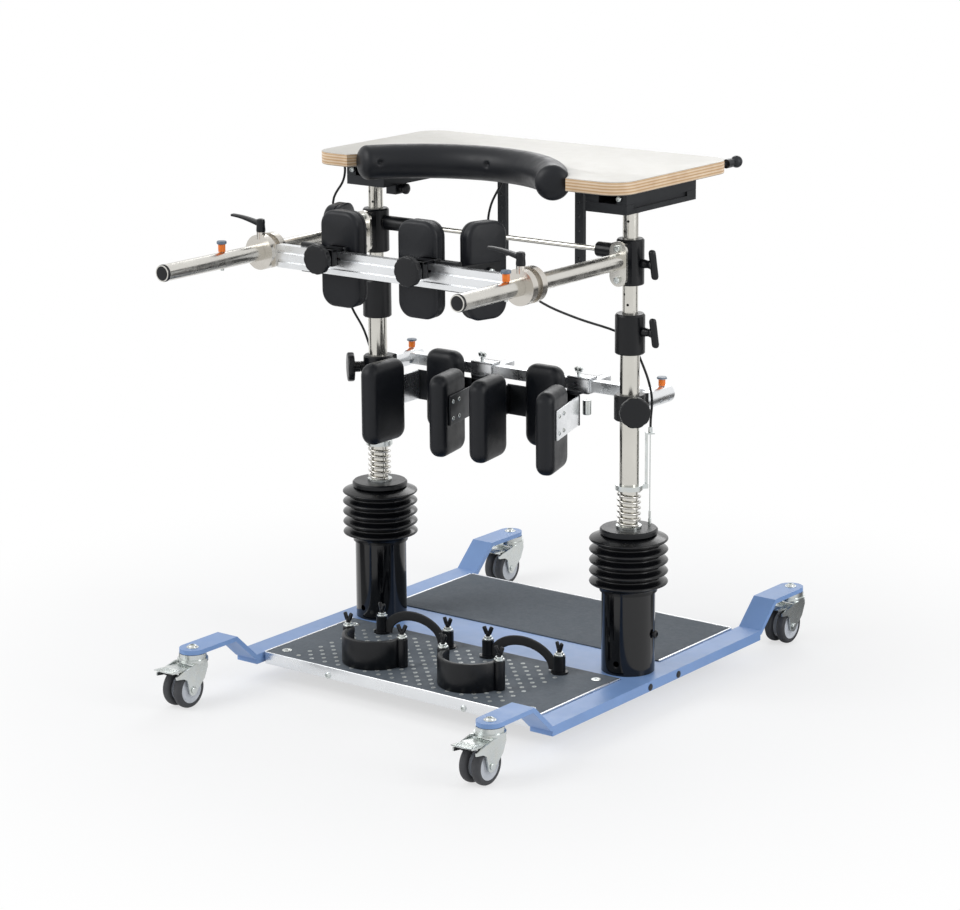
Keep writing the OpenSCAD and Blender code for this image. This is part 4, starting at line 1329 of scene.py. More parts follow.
    def straps(self) -> None:
        """Two padded bands arched over the insteps."""
        for name, i in (("left_instep_band", 0), ("right_instep_band", 2)):
            a, b = self.posts[i], self.posts[i + 1]
            half, middle = (b - a) / 2 - 12.4, (a + b) / 2
            path = []
            for k in range(49):
                t = math.radians(180 * k / 48)
                height = DECK_TOP + 4.6 + 44.4 * math.sin(t)
                path.append((middle + (half - 2.2) * math.cos(t), self.post_y, height))
            shape = Shape().along(
                path, lambda t: rounded_rectangle(19.6 + 3 * abs(2 * t - 1) ** 3, 4.6, 2.0), up=(0, 1, 0.001)
            )
            made = piece(name, shape, WEBBING, "base", ["instep_straps"] if i == 0 else [])

    def bellows(self) -> None:
        """Dipped rubber bellows whose lower rim stays and whose top follows the column."""
        outer = [(52.5, 336.2), (58, 334.6), (66, 331.6), (73.5, 328.8)]
        for k in range(5):
            z = 326.2 - 21.5 * k
            outer += [(76.2, z + 1.5), (77, z), (76.2, z - 1.5)]
            if k < 4:
                outer += [
                    (72.5, z - 3.6), (67, z - 6.6), (63.8, z - 9.2), (63, z - 10.75), (63.8, z - 12.3),
                    (67, z - 14.9), (72.5, z - 17.9),
                ]  # fmt: skip
        outer += [(72.5, 237.2), (65, 233.2), (58.5, 230.8), (56.8, 229.4), (56.5, 227), (56.5, 222.2)]
        inner = [(52.9, 222.2), (52.9, 230.5), (61, 234.5), (71, 239)]
        inner += [(r - 2.4, z) for r, z in reversed(outer[4:-10]) if z > 243]
        inner += [(66, 328.6), (50.5, 333.0), (48, 336.2)]
        for name, sx in (("left_bellows", -1), ("right_bellows", 1)):
            shape = Shape().spun(outer + inner, Matrix.Translation((sx * HALF, 0, 0)), 72, closed=True)
            made = finished(name, shape, BELLOWS, 60)
            y = COLUMN_Y / 1000
            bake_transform(made, "base", "columns", start=(0, y, 0.236), end=(0, y, 0.33))
            if sx < 0:
                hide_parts("bellows")
            LOG.info("%s bends between base and columns", name)

    def build(self) -> None:
        """Dresses the base and builds its finer pieces."""
        dress(BLUE, "base_frame")
        dress(DECK, "front_deck", "rear_deck")
        dress(ENAMEL, "column_housings")
        dress(NYLON, "foot_posts")
        self.edges()
        self.bolts()
        self.inserts()
        Ribs("rear_deck_ribs", 2 * self.deck_half - 4, 4.0, 75, 334, DECK_TOP).build(DECK, "base")
        Ribs("front_deck_ribs", 2 * self.deck_half - 4, 4.0, -338, -66, DECK_TOP, 0.4).build(DECK, "base")
        cups = Shape()
        for x in self.cups:
            cups.join(self.heel_cup(x))
        piece("heel_cup_walls", cups, NYLON, "base", ["heel_cups"])
        self.wing_screws()
        self.straps()
        self.bellows()


@dataclass
class Caster:
    """One twin-wheel caster: its tyres, hubs and pedal grip.

    Attributes:
        corner: the node prefix, such as front_left.
        x: the swivel axis.
        y: the swivel axis.
        trail: distance of the axle behind the swivel.
        wheel: wheel radius.
        tread: width of one wheel.
        gap: distance of a wheel's inner face from the swivel axis.
        pedal_end: distance of the pedal's grip behind the swivel axis.
        pedal_top: height of the grip's first rib.
    """

    corner: str
    x: float
    y: float
    trail: float = 30.0
    wheel: float = 37.5
    tread: float = 18.0
    gap: float = 5.0
    pedal_end: float = 84.0
    pedal_top: float = 84.3

    def both_sides(self, profile: Flat) -> Flat:
        """A wheel's profile from its inner face, and the same again at its outer face."""
        return profile + [(radius, self.tread - across) for radius, across in reversed(profile)]

    def build(self) -> None:
        """Builds both wheels and dresses the fork and the pedal."""
        tyres, hubs, caps = Shape(), Shape(), Shape()
        r, w = self.wheel, self.tread
        tyre = self.both_sides([(27.6, 0.6), (31, 0.0), (33.6, 0.5), (35.8, 2.2), (37.0, 4.6), (r, 7.2)])
        tyre.append((26.6, w / 2))
        hub = self.both_sides(
            [(5, 2.0), (11, 2.0), (12.2, 3.2), (22, 4.4), (25.2, 1.6), (27.2, 0.9), (27.7, 3)]
        )
        for s in (-1, 1):
            where = turned((self.x + s * self.gap, self.y - self.trail, r), (s, 0, 0))
            tyres.spun(tyre, where, 72, closed=True)
            hubs.spun(hub, where, 48, closed=True)
            caps.disc(6.6, w + 4.2, w + 7.6, 1.6, where, 24)
        body = self.corner + "_wheel_pair"
        piece(self.corner + "_tyres", tyres, TYRE, body, [self.corner + "_wheels"])
        piece(self.corner + "_hubs", hubs, HUB, body)
        piece(self.corner + "_axle_caps", caps, ZINC, self.corner + "_swivel")
        grip = Shape()
        for k in range(5):
            y, z = self.y - self.pedal_end + k * 5.5, self.pedal_top - 0.35 * k
            grip.block((self.x - 20, y, z), (self.x + 20, y + 2.2, z + 1.3), 0.6)
        piece(self.corner + "_pedal_grip", grip, ZINC, self.corner + "_brake")
        dress(ZINC, self.corner + "_fork", self.corner + "_pedal")


@dataclass
class Columns:
    """Sprung columns with their tubes, clamps and lock cables.

    Attributes:
        coil_radius: mean radius of the spring.
        coil_low: height of the spring's first curl.
        coil_high: height of its last curl.
        curls: number of curls.
        wire: radius of the wire.
        cable_radius: radius of a lock cable.
        right_route: points of the right cable, from the column stop up to the table.
        left_route: the same of the left cable.
    """

    coil_radius: float = 21.7
    coil_low: float = 354.5
    coil_high: float = 421.8
    curls: float = 6.0
    wire: float = 2.0
    cable_radius: float = 2.4
    right_route: tuple[Point, ...] = (
        (336.5, 33, 545), (337, 33, 560), (340, 32, 600), (339, 20, 640), (318, 24, 677),
        (288, 42, 702), (248, 40, 721), (160, 40, 735), (75, 42, 755), (0, 48, 790), (-50, 54, 835),
        (-72, 60, 890), (-66, 62, 935), (-42, 66, 980), (-34, 68, 1003.2),
    )  # fmt: skip
    left_route: tuple[Point, ...] = (
        (-336.5, 33, 545), (-337, 32, 560), (-342, 25, 592), (-352, 8, 655), (-374, -2, 700),
        (-381, -12, 740), (-384, -30, 850), (-380, -50, 925), (-352, -53, 968), (-346, -52, 988),
        (-346, -52, 1004),
    )  # fmt: skip

    def springs(self) -> None:
        """Winds both springs as one wire each."""
        model = NodeModel("coil_set")
        radius = model.size("Coil Radius", self.coil_radius / 1000)
        height = model.size("Coil Height", (self.coil_high - self.coil_low) / 1000)
        turns = model.size("Curls", self.curls)
        wire = model.size("Wire Radius", self.wire / 1000)
        coil = model.add(
            "GeometryNodeCurveSpiral",
            {
                "Resolution": 40,
                "Rotations": turns,
                "Start Radius": radius,
                "End Radius": radius,
                "Height": height,
            },
        )
        section = model.add("GeometryNodeCurvePrimitiveCircle", {"Resolution": 12, "Radius": wire})
        tube = model.add(
            "GeometryNodeCurveToMesh",
            {"Curve": coil.outputs["Curve"], "Profile Curve": section.outputs["Curve"], "Fill Caps": True},
        )
        placed = model.add(
            "GeometryNodeInstanceOnPoints",
            {"Points": model.source.outputs["Geometry"], "Instance": tube.outputs["Mesh"]},
        )
        model.close(placed.outputs["Instances"], WIRE)
        feet = cloud("coil_feet", [(-HALF, 0, self.coil_low), (HALF, 0, self.coil_low)])
        model.piece("spring_coils", feet, WIRE, "columns", ["springs"], angle=60)

    def cable(self, name: str, route: Sequence[Sequence[float]], first: bool) -> None:
        """Runs one lock cable from the column stop up to the table."""
        path = curved(route, 5)
        shape = Shape().along(path, lambda _: circle(self.cable_radius, 12), up=(0.3, 1.0, 0.1))
        made = finished(name, shape, NYLON, 70)
        y = COLUMN_Y / 1000
        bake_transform(made, "columns", "height_tubes", start=(0, y, 0.6), end=(0, y, 0.98))
        if first:
            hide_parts("lock_cables")

    def wing_knob(self, name: str, body: str, side: int, start: float, z: float) -> None:
        """A T-handle clamping screw that stands out of a sleeve."""
        where = turned((side * (HALF + start), 0, z), (side, 0, 0))
        tilt = where @ Matrix.Rotation(math.radians(12 * side), 4, "Z")
        shape = Shape()
        shape.disc(4, -6, 6, 0.6, where, 24)
        neck = [(6, 1.5), (8.6, 2.0), (9, 3), (8.2, 8), (7.4, 14), (8.5, 19), (9.5, 21), (9, 24), (5, 26)]
        shape.spun(neck, where, 32)
        levels = [(5.2, 19.4), (2.4, 20.2), (0.7, 22), (0, 24.5)]
        levels += [(0, 28), (0.7, 30.4), (2.4, 32), (5.0, 32.7)]
        shape.column(self.bar, levels, tilt)
        piece(name, shape, KNOB, body, [name.replace("_tee", "_knob")])

    @staticmethod
    def bar(inset: float) -> Flat:
        """Outline of the upright T-handle: a bar with fuller, rounded ends."""
        points = []
        for u, v in rounded_rectangle(60, 12.5, 6.2, 0, 6):
            waist = 0.82 + 0.18 * min(abs(u) / 24, 1.0) ** 2
            reach = 1 - inset / 30
            points.append((u * reach, v * waist * max(1 - inset / 6.2, 0.12)))
        return points

    def build(self) -> None:
        """Dresses the columns and builds springs, knobs and cables."""
        dress(STEEL, "outer_tubes", "inner_tubes")
        dress(NYLON, "cap_discs", "clamp_sleeves")
        dress(ZINC, "collars")
        self.springs()
        for side, word in SIDES:
            self.wing_knob(f"{word}_height_tee", f"{word}_height_screw", side, 29, 737)
        self.cable("right_lock_cable", self.right_route, True)
        self.cable("left_lock_cable", self.left_route, False)


@dataclass
class Cushion:
    """A moulded foam pad: crowned faces and sides drawn in.

    Attributes:
        name: the piece's name.
        body: the body that it rides on.
        middle: its centre.
        turn: turn about Z in degrees; at 0 it faces Y.
        width: size across.
        height: size up.
        thick: thickness.
        corner: radius of its corners.
        crown: how far its faces swell.
        round: radius of its edges.
        shell: shows a thin back shell under the foam, as the pelvis pads have.
    """

    name: str
    body: str
    middle: Point
    turn: float
    width: float
    height: float
    thick: float
    corner: float = 26.0
    crown: float = 1.6
    round: float = 9.0
    shell: bool = False

    def levels(self) -> Flat:
        """Insets and depths from the back of the pad, round its edge, to the front."""
        m, e = self.thick / 2, self.round
        deep = self.width / 2 - 1.5
        face = [
            (deep - (deep - e) * k / 9, m + self.crown * math.sin(math.pi / 2 * (1 - k / 9)) ** 0.8)
            for k in range(10)
        ]
        rim = [
            (e * (1 - math.sin(math.radians(a))), m - e * (1 - math.cos(math.radians(a))))
            for a in (12, 24, 36, 48, 60, 72, 84)
        ]
        front = [(d, y) for d, y in reversed(face + rim + [(0.0, m - e)])]
        if not self.shell:
            return [(d, -y) for d, y in reversed(front)] + front
        back = [(deep, 0.0), (4.0, 0.0), (2.4, 0.3), (1.2, 1.4), (0.8, 3.0)]
        back += [(0.8, 7.4), (2.6, 8.2), (2.8, 9.2), (0.7, 10.2)]
        return [(d, y - m) for d, y in back] + front

    def build(self, replaces: Sequence[str] = ()) -> bpy.types.Object:
        where = (
            Matrix.Translation(Vector(self.middle))
            @ Matrix.Rotation(math.radians(self.turn), 4, "Z")
            @ Matrix.Rotation(math.radians(90), 4, "X")
        )
        shape = Shape().column(
            lambda d: rounded_rectangle(self.width, self.height, self.corner, d, 9), self.levels(), where
        )
        made = piece(self.name, shape, PAD, self.body, replaces, angle=55)
        self.yield_softly(made)
        return made

    def yield_softly(self, made: bpy.types.Object) -> None:
        """Moves the faces a little in and out, as foam under its skin does."""
        across = Vector((math.cos(math.radians(self.turn)), math.sin(math.radians(self.turn)), 0))
        facing = Vector((-across.y, across.x, 0))
        centre = Vector((self.middle[0], self.middle[1] + COLUMN_Y, self.middle[2])) / 1000
        for vertex in made.data.vertices:
            away = vertex.co - centre
            u, v, w = away.dot(across) * 1000, away.z * 1000, away.dot(facing) * 1000
            share = max(0.0, 1 - (2 * u / self.width) ** 2) * max(0.0, 1 - (2 * v / self.height) ** 2)
            swell = 0.35 * math.sin(u / 17 + self.middle[0]) * math.cos(v / 23) * share
            vertex.co += facing * (math.copysign(swell, w) / 1000)


@dataclass
class StarKnob:
    """A round black knob with shallow finger scallops and a soft rim.

    Attributes:
        name: the piece's name.
        body: the body that it rides on.
        node: the CAD node that it replaces.
        root: where its shank starts.
        axis: direction that it points in.
        reach: distance of its front face from the root.
        radius: its radius.
        depth: thickness of the disc.
        lobes: number of scallops.
    """

    name: str
    body: str
    node: str
    root: Point
    axis: Point
    reach: float
    radius: float = 29.0
    depth: float = 16.0
    lobes: int = 12

    def build(self) -> bpy.types.Object:
        """Builds the shank, the hub and the disc."""
        where = turned(self.root, self.axis, 9)
        r, face = self.radius, self.reach
        shape = Shape()
        shape.disc(4, -8, face - self.depth + 2, 0.5, where, 24)
        rear = face - self.depth
        shape.spun([(6, 0.5), (10.2, 1.0), (11, 2.0), (11, rear - 3), (13, rear + 1)], where, 40)
        levels = [(r - 8, rear + 0.4)] + softened(rear, face - 0.8, 3.4, 5)[2:-1]
        levels += [(3.6, face - 0.75), (8, face - 0.3), (14, face), (22, face + 0.1)]
        shape.column(lambda d: lobed(r, 1.0, self.lobes, d), levels, where)
        return piece(self.name, shape, KNOB, self.body, [self.node], angle=50)


@dataclass
class KneeSupport:
    """Knee bar with its clamps and the two cups of three pads each.

    Attributes:
        bar_y: Y of the square knee bar.
        height: height of the knee bar.
        pad_width: width of the side pads.
        front_width: width of the front pads.
        pad_height: height of the pads.
        pad_thick: thickness of the pads.
        clamp: Y of the near and the far face of the sleeves on the knee bar.
        clamp_half: half the height of those sleeves.
        clamp_wall: thickness of their walls.
        stub: length of the square tube behind each sleeve.
        cups: middle and turn of each cup's outer, front and inner pad.
    """

    bar_y: float = 100.0
    height: float = 590.0
    pad_width: float = 112.0
    front_width: float = 85.0
    pad_height: float = 166.0
    pad_thick: float = 38.0
    clamp: tuple[float, float] = (84.1, 116.0)
    clamp_half: float = 16.0
    clamp_wall: float = 4.6
    stub: float = 50.0
    cups: dict[str, tuple[tuple[float, float, float, float], ...]] = field(
        default_factory=lambda: {
            "left": ((-240, -72, 537, 0), (-175, 50, 547, 0), (-90, -55, 531, 13)),
            "right": ((15, -60, 535, 10), (77, 47, 548, 0), (155, -40, 527, 18)),
        }
    )

    def pads(self, word: str) -> None:
        """Three thick pads round one knee."""
        for i, (part, (x, y, z, turn)) in enumerate(zip(("outer", "front", "inner"), self.cups[word])):
            side = i != 1
            Cushion(
                f"{word}_knee_pad_{part}",
                f"{word}_knee_cup",
                (x, y, z),
                turn + 90 if side else turn,
                self.pad_width if side else self.front_width,
                self.pad_height,
                self.pad_thick,
                corner=24,
                crown=0.6 if side else 1.2,
                round=17,
            ).build([f"{word}_knee_pads"] if i == 0 else [])

    def straps(self, word: str, x0: float, x1: float, screw_x: float) -> None:
        """Bent plates behind the pads, and the clamp on the knee bar."""
        cup = self.cups[word]
        t = self.pad_thick / 2
        back, z = cup[1][1] + t, cup[1][2] - 4
        dark, pale = Shape(), Shape()
        dark.block((x0, back + 0.3, z - 31), (x1, back + 4.1, z + 31), 1.4)
        screws = []
        for i in (0, 2):
            x, y, _, turn = cup[i]
            s = -1 if i == 0 else 1
            a = math.radians(turn)
            reach = (back + 2 - y) / math.cos(a) - s * t * math.tan(a)
            where = Matrix.Translation((x, y, z)) @ Matrix.Rotation(a, 4, "Z")
            plate = Shape()
            low, high = sorted((s * (t + 0.2), s * (t + 4)))
            plate.block((low, -34, -30), (high, reach, 30), 1.4)
            plate.points = [where @ p for p in plate.points]
            (pale if (word, i) in (("right", 2), ("left", 0)) else dark).join(plate)
            for v in (-22, 6):
                for h in (-17, 17):
                    spot = where @ Vector((s * (t + 3.9), v, h))
                    screws.append((tuple(spot), (s * math.cos(a), s * math.sin(a), 0), 4.4))
        sx, k, by = screw_x, self.height, self.bar_y
        dark.block((sx - 6, back + 0.3, z + 20), (sx + 24, back + 4.1, k - 9), 1.2)
        dark.block((sx - 6, back + 0.3, k - 15), (sx + 24, 85, k - 8.5), 1.2)
        near, far = self.clamp
        c, w = self.clamp_half, self.clamp_wall
        left, right = sx - 18, sx + 34
        sleeve = (
            ((left, near, k - c), (right, 88.6, k + c)),
            ((left, far - w, k - c), (right, far, k + c)),
            ((left, near, k + c - w), (right, far, k + c)),
            ((left, near, k - c), (right, far, k - c + w)),
        )
        left, right = sx + 10, sx + 32
        start, end = far - 1, far + self.stub
        stub = (
            ((left, start, k + 5), (right, end, k + 7)),
            ((left, start, k - 9), (right, end, k - 7)),
            ((left, start, k - 9), (left + 2, end, k + 7)),
            ((right - 2, start, k - 9), (right, end, k + 7)),
        )
        for low, high in sleeve + stub:
            pale.block(low, high, 0.9)
        body = f"{word}_knee_cup"
        piece(f"{word}_knee_plates", dark, SLIDE, body, [f"{word}_knee_bracket"])
        piece(f"{word}_knee_clamp", pale, PROFILE, body)
        Screws(f"{word}_knee_screws", body, Head.BUTTON, ZINC, screws).build()
        knob = Shape()
        where = Matrix.Translation((sx, by, k + 16))
        knob.disc(3.6, -3, 9, 0.6, where, 20)
        KNEE_WINGS.add_to(knob, where)
        knob.disc(9, -60, -31, 1.6, Matrix.Translation((sx + 22, 97, k)), 28)
        piece(f"{word}_knee_clamp_screw", knob, ZINC, body)

    def pins(self) -> None:
        """Orange pull pins with grey heads in the ends of the knee tubes."""
        sleeves, heads = Shape(), Shape()
        for s in (-1, 1):
            where = Matrix.Translation((s * HALF, 111, self.height))
            sleeves.disc(6.8, 17.8, 31.8, 1.0, where, 28)
            sleeves.disc(4.4, 12, 19, 0.8, where, 24)
            heads.spun([(3, 31), (8.6, 31.4), (10.2, 32.4), (10.3, 34.4), (9.4, 35.4), (4, 35.8)], where, 32)
        piece("knee_pin_sleeves", sleeves, ORANGE, "knee_carrier")
        piece("knee_pin_heads", heads, GREY, "knee_carrier")

    def build(self) -> None:
        """Builds the whole knee support."""
        dress(NYLON, "knee_sleeves")
        dress(PROFILE, "knee_frame")
        self.pins()
        for word, x0, x1, sx in (("left", -263, -94, -119), ("right", -32, 145, 120)):
            self.pads(word)
            self.straps(word, x0, x1, sx)
            side = -1 if word == "left" else 1
            out = (side * math.cos(math.radians(45)), -math.sin(math.radians(45)), 0)
            StarKnob(
                f"{word}_knee_star",
                f"{word}_knee_screw",
                f"{word}_knee_knob",
                (side * HALF + out[0] * 36, out[1] * 36, self.height - 2),
                out,
                28,
                30,
                15,
                10,
            ).build()


@dataclass
class PelvisSupport:
    """Handlebars with their rings, the slotted cross bar and its four pads.

    Attributes:
        bar_height: height of the handlebar axes.
        ring_y: distance of the cross bar from the column line.
        profile_z: height of the slotted cross bar's middle.
        right_reach: distance of the right handlebar's end from the column line.
        left_reach: the same of the left handlebar.
        saddle_low: height of the pad sliders' lower faces.
        saddle_high: height of their upper faces.
        pin_spots: X and Y of the quick pins.
        rear_pads: side, X of the pad and X of its slider, for each rear pad.
        side_pads: side, its sign and X on the right, for each side pad.
        pad: width, height and thickness of a pad.
    """

    bar_height: float = 875.0
    ring_y: float = 335.0
    right_reach: float = 538.0
    left_reach: float = 628.0
    profile_z: float = 870.0
    saddle_low: float = 842.0
    saddle_high: float = 899.0
    pin_spots: tuple[tuple[float, float], ...] = ((HALF, -394.0), (-HALF, -462.0))
    rear_pads: tuple[tuple[str, float, float], ...] = (("left", -148.0, -142.0), ("right", 40.0, 76.0))
    side_pads: tuple[tuple[str, int, float], ...] = (("left", -1, 215.0), ("right", 1, 136.0))
    pad: Point = (92.0, 186.0, 32.0)

    def caps(self) -> None:
        """Black end caps and flange screws of the handlebars."""
        cap = [(10, 0), (16.3, 0.0), (16.4, 0.8), (16.3, 4.0), (15, 6.2), (11, 7.0), (4, 7.2)]
        shape = Shape()
        screws = []
        for x, reach in ((HALF, self.right_reach), (-HALF, self.left_reach)):
            where = turned((x, -reach + 6.5, self.bar_height), (0, -1, 0))
            shape.spun(cap, where, 48)
            for s in (-1, 1):
                screws.append(((x, -42.2, self.bar_height - 5 + 30 * s), (0, -1, 0), 6.4))
        piece("handlebar_caps", shape, KNOB, "pelvis_carrier")
        Screws("flange_screws", "pelvis_carrier", Head.SOCKET, ZINC, screws).build()

    def pins(self) -> None:
        """Orange quick pins through the handlebars."""
        stems, sleeves, heads = Shape(), Shape(), Shape()
        for x, y in self.pin_spots:
            where = Matrix.Translation((x, y, self.bar_height + 16.3))
            stems.disc(3.4, -36, 8, 0.8, where, 20)
            sleeves.spun([(4, 0), (6.2, 0.2), (6.9, 1.2), (7, 13.6), (6.4, 15.0), (3, 15.4)], where, 28)
            heads.spun([(3, 14.8), (8.4, 15.2), (9.5, 16.2), (9.6, 19.4), (8.6, 21.0), (3, 21.4)], where, 28)
        piece("quick_pin_stems", stems, ZINC, "pelvis_carrier", ["handlebar_pins"])
        piece("quick_pin_sleeves", sleeves, ORANGE, "pelvis_carrier")
        piece("quick_pin_heads", heads, GREY, "pelvis_carrier")

    def lever(self, word: str, x: float) -> None:
        """One clamp lever: a hub with a tapered arm that rises to its tip."""
        y, side = -self.ring_y - 14.5, Vector((-1, 0, 0))
        where = Matrix.Translation((x, y, 0))
        shape = Shape()
        shape.disc(4, 907, 925, 0.6, where, 24)
        hub = [(7.4, 914.3), (8.9, 915), (9, 918), (8.2, 928), (8.6, 934), (7.6, 938.2), (4, 939.4)]
        shape.spun(hub, where, 32)
        steps = 14
        path = [
            Vector((x, y, 929)) + side * (72 * k / steps) + Vector((0, 0, 11 * math.sin(k / steps * 1.5)))
            for k in range(steps + 1)
        ]

        def section(t: float) -> Flat:
            """The arm's section: it thins towards the tip and widens again at its end."""
            width = 13.5 - 4.5 * t + 2.2 * max(0.0, t - 0.75) * 4
            return rounded_rectangle(width, 9.5 - 4.6 * t, 2.6 - 0.6 * t, 0, 4)

        shape.along(path, section)
        piece(f"{word}_clamp_arm", shape, KNOB, f"{word}_clamp_lever", [f"{word}_lever"])

    def saddle(self, x: float, rear: float, clip: bool = True) -> Shape:
        """Slider behind the slotted bar; clip adds the part that hooks over it."""
        front, back = -self.ring_y - 8, -self.ring_y + 8
        low, high, top = self.saddle_low, self.saddle_high, self.profile_z + 22
        shape = Shape()
        shape.block((x - 22, back + 0.4, low), (x + 22, rear, high), 2.2)
        if clip:
            shape.block((x - 17, front - 15, top + 0.4), (x + 17, rear, high), 1.6)
            shape.block((x - 17, front - 15, low + 24), (x + 17, front - 0.4, high), 1.8)
        return shape

    def pads(self) -> None:
        """Two rear pads and two side pads with their sliders and star knobs."""
        w, h, t = self.pad
        for word, x, sx in self.rear_pads:
            body = f"{word}_rear_support"
            middle = (x, -313 + t / 2 + 0.4, 871)
            pad = Cushion(f"{word}_pelvis_pad", body, middle, 0, w, h, t, 30, 3.0, 8.5, True)
            pad.build([f"{word}_rear_pad"])
            piece(f"{word}_pad_slider", self.saddle(sx, -311), NYLON, body)
            StarKnob(
                f"{word}_pad_star", f"{word}_pad_screw", f"{word}_pad_knob",
                (sx, -self.ring_y - 23.5, 883), (0, -1, 0), 31.5,
            ).build()  # fmt: skip
        for word, s, x in self.side_pads:
            body = f"{word}_side_support"
            middle = (s * x, -230, 869)
            pad = Cushion(f"{word}_side_pad", body, middle, s * 75, w, h, t - 2, 30, 2.6, 8.5, True)
            pad.build([f"{word}_lateral_pad"])
            a = math.radians(-15)
            where = Matrix.Translation((x, -230, 869)) @ Matrix.Rotation(a, 4, "Z")
            arm = Shape()
            for low, high in (((15, -91, 4), (19, 26, 17)), ((15, -91, -17), (19, 26, -4)),
                              ((15, -91, -5), (19, -80, 5)), ((15, -40, -5), (19, 26, 5))):  # fmt: skip
                arm.block(low, high, 1.1)
            arm.disc(8, 0, 5, 1.0, turned((19, 0, 0), (1, 0, 0)), 28)
            arm.points = [where @ p for p in arm.points]
            slider = self.saddle(x - 7, -315, False)
            piece(f"{word}_side_arm", arm if s > 0 else arm.mirrored(), NYLON, body)
            piece(f"{word}_side_slider", slider if s > 0 else slider.mirrored(), NYLON, body)
            spot = where @ Vector((24, 0, 0))
            look = (s * math.cos(a), math.sin(a), 0)
            screw = [((s * spot.x, spot.y, spot.z), look, 7)]
            Screws(f"{word}_side_screw", body, Head.BUTTON, ZINC, screw).build()

    def build(self) -> None:
        """Builds the whole pelvis support."""
        dress(NYLON, "pelvis_sleeves")
        dress(BAR_STEEL, "handlebars")
        dress(STEEL, "cross_rod")
        dress(TURNED, "ring_clamps")
        dress(PROFILE, "profile_bar")
        sleeves = Shape()
        sleeves.disc(14.5, 236, HALF - 27, 1.5, turned((0, 0, 886), (1, 0, 0)), 40)
        sleeves.disc(14.5, 165, HALF - 27, 1.5, turned((0, 0, 886), (-1, 0, 0)), 40)
        piece("cross_rod_sleeves", sleeves, NYLON, "pelvis_carrier")
        self.caps()
        self.pins()
        self.lever("left", -HALF)
        self.lever("right", HALF)
        self.pads()
        for side, word in SIDES:
            Columns().wing_knob(f"{word}_pelvis_tee", f"{word}_pelvis_screw", side, 26.5, 868)


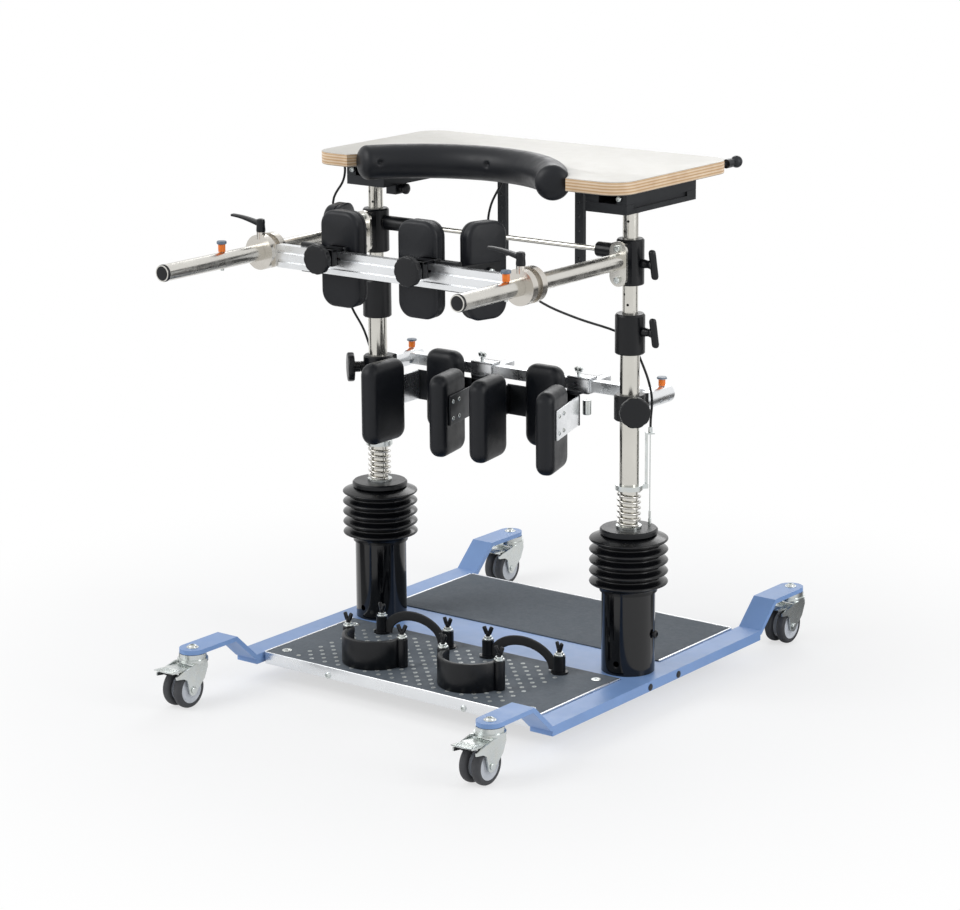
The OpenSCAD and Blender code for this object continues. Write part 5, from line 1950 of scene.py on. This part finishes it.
@dataclass
class Table:
    """Laminated table with its chest cut-out, padded roll and slides.

    Attributes:
        width: size along X.
        depth: size along Y.
        front: Y of the front edge.
        top: height of the top face.
        thick: thickness of the board.
        cut: radius of the cut-out.
        arc: centre of the cut-out.
        corner: radius of the board's corners.
        roll: radius of the padded roll.
        sweep: half the angle that the roll covers, in degrees.
    """

    width: float = 742.0
    depth: float = 384.0
    front: float = -122.0
    top: float = 1038.0
    thick: float = 25.0
    cut: float = 292.0
    arc: tuple[float, float] = (-18.0, -247.0)
    corner: float = 46.0
    roll: float = 34.0
    sweep: float = 58.0

    def outline(self) -> Flat:
        """Outline of the board, counter-clockwise from the cut-out's right end."""
        middle = self.front + self.depth / 2
        box = [(u, v + middle) for u, v in rounded_rectangle(self.width, self.depth, self.corner, 0, 14)]
        reach = math.sqrt(self.cut**2 - (self.front - self.arc[1]) ** 2)
        start = math.atan2(self.front - self.arc[1], -reach)
        end = math.atan2(self.front - self.arc[1], reach)
        arc = []
        for k in range(97):
            a = start + (end - start) * k / 96
            arc.append((self.arc[0] + self.cut * math.cos(a), self.arc[1] + self.cut * math.sin(a)))
        right = [p for p in box if p[1] < middle and p[0] > 0]
        above = [p for p in box if p[1] > middle]
        left = [p for p in box if p[1] < middle and p[0] < 0]
        return right + above + left + arc

    def board(self) -> None:
        """The board: laminate on both faces, birch plies at its edge."""
        shape = Shape().flat_plate(self.outline(), self.top - self.thick, self.top, 1.4)
        made = piece("table_board", shape, BIRCH, "table", ["table_top"], angle=30)
        made.data.materials.append(LAMINATE.make())
        for face in made.data.polygons:
            if abs(face.normal.z) > 0.8:
                face.material_index = 1

    def padded_roll(self) -> None:
        """The roll round the cut-out, dimpled at its screws, with rounded ends."""
        ring, r = self.cut - 28, self.roll
        centre = Vector((self.arc[0], self.arc[1], self.top - 14))
        rings = []
        nose, shrink = math.degrees(17 / ring), 24.0
        ends = [
            (nose * math.cos(math.radians(a)), shrink * (1 - math.sin(math.radians(a))))
            for a in (0, 12, 24, 36, 48, 60, 70, 80)
        ]
        stations = [(-self.sweep - e, d) for e, d in ends]
        stations += [(-self.sweep + 2 * self.sweep * k / 230, 0.0) for k in range(231)]
        stations += [(self.sweep + e, d) for e, d in reversed(ends)]
        first, last = (stations[0][0], r - 1.0), (stations[-1][0], r - 1.0)
        for angle, inset in [first, *stations, last]:
            a = math.radians(90 - angle)
            out = Vector((math.cos(a), math.sin(a), 0))
            loop = []
            for k in range(90):
                t = 2 * math.pi * k / 90
                reach = r - inset - 0.1
                u, v = reach * math.cos(t), reach * math.sin(t)
                if v > -11.4 and ring + u > self.cut - 0.5:
                    u = self.cut - 0.5 - ring
                loop.append(centre + out * (ring + u) + Vector((0, 0, v)))
            rings.append(loop)
        shape = Shape().stack(rings)
        made = piece("chest_roll_padding", shape, PAD, "table", ["chest_roll"], angle=60)
        for angle in (-54.0, 0.0):
            a = math.radians(90 - angle)
            out = Vector((math.cos(a), math.sin(a), 0))
            spot = centre + out * (ring - r * 0.99) + Vector((0, COLUMN_Y, r * 0.1))
            for vertex in made.data.vertices:
                far = (vertex.co * 1000 - spot).length
                vertex.co += out * (6.5 * math.exp(-((far / 4.6) ** 2)) / 1000)

    def fittings(self) -> None:
        """Screws of the slides."""
        screws = [((s * 322, -58, 997), (0, -1, 0), 5.6) for s in (-1, 1)]
        Screws("slide_screws", "table", Head.BUTTON, ZINC, screws).build()

    def release(self) -> None:
        """Pull knob of the table's release."""
        where = turned((-246, -10, 961), (1, 0, 0))
        shape = Shape()
        shape.disc(4, 0, 14, 0.6, where, 24)
        neck = [(6, 8.6), (8.8, 9.2), (9, 11), (8.2, 15)]
        grip = [(10, 18), (11, 20.5), (10.6, 25), (8.6, 26.8), (3, 27.2)]
        shape.spun(neck + grip, where, 36)
        piece("release_pull", shape, KNOB, "table_release", ["release_knob"])

    def build(self) -> None:
        """Builds the table."""
        dress(SLIDE, "table_brackets", "table_rails")
        self.board()
        self.padded_roll()
        self.fittings()
        self.release()


def main() -> None:
    """Builds the scene: studio first, then each sub-assembly in order."""
    logging.basicConfig(level=logging.INFO, format="%(message)s")
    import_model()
    Studio().build()
    Columns().build()
    Base().build()
    for sy, front in ((-1, "front"), (1, "rear")):
        for sx, word in SIDES:
            Caster(f"{front}_{word}", sx * CORNER_X, sy * CORNER_Y).build()
    KneeSupport().build()
    PelvisSupport().build()
    Table().build()


if __name__ == "__main__":
    main()
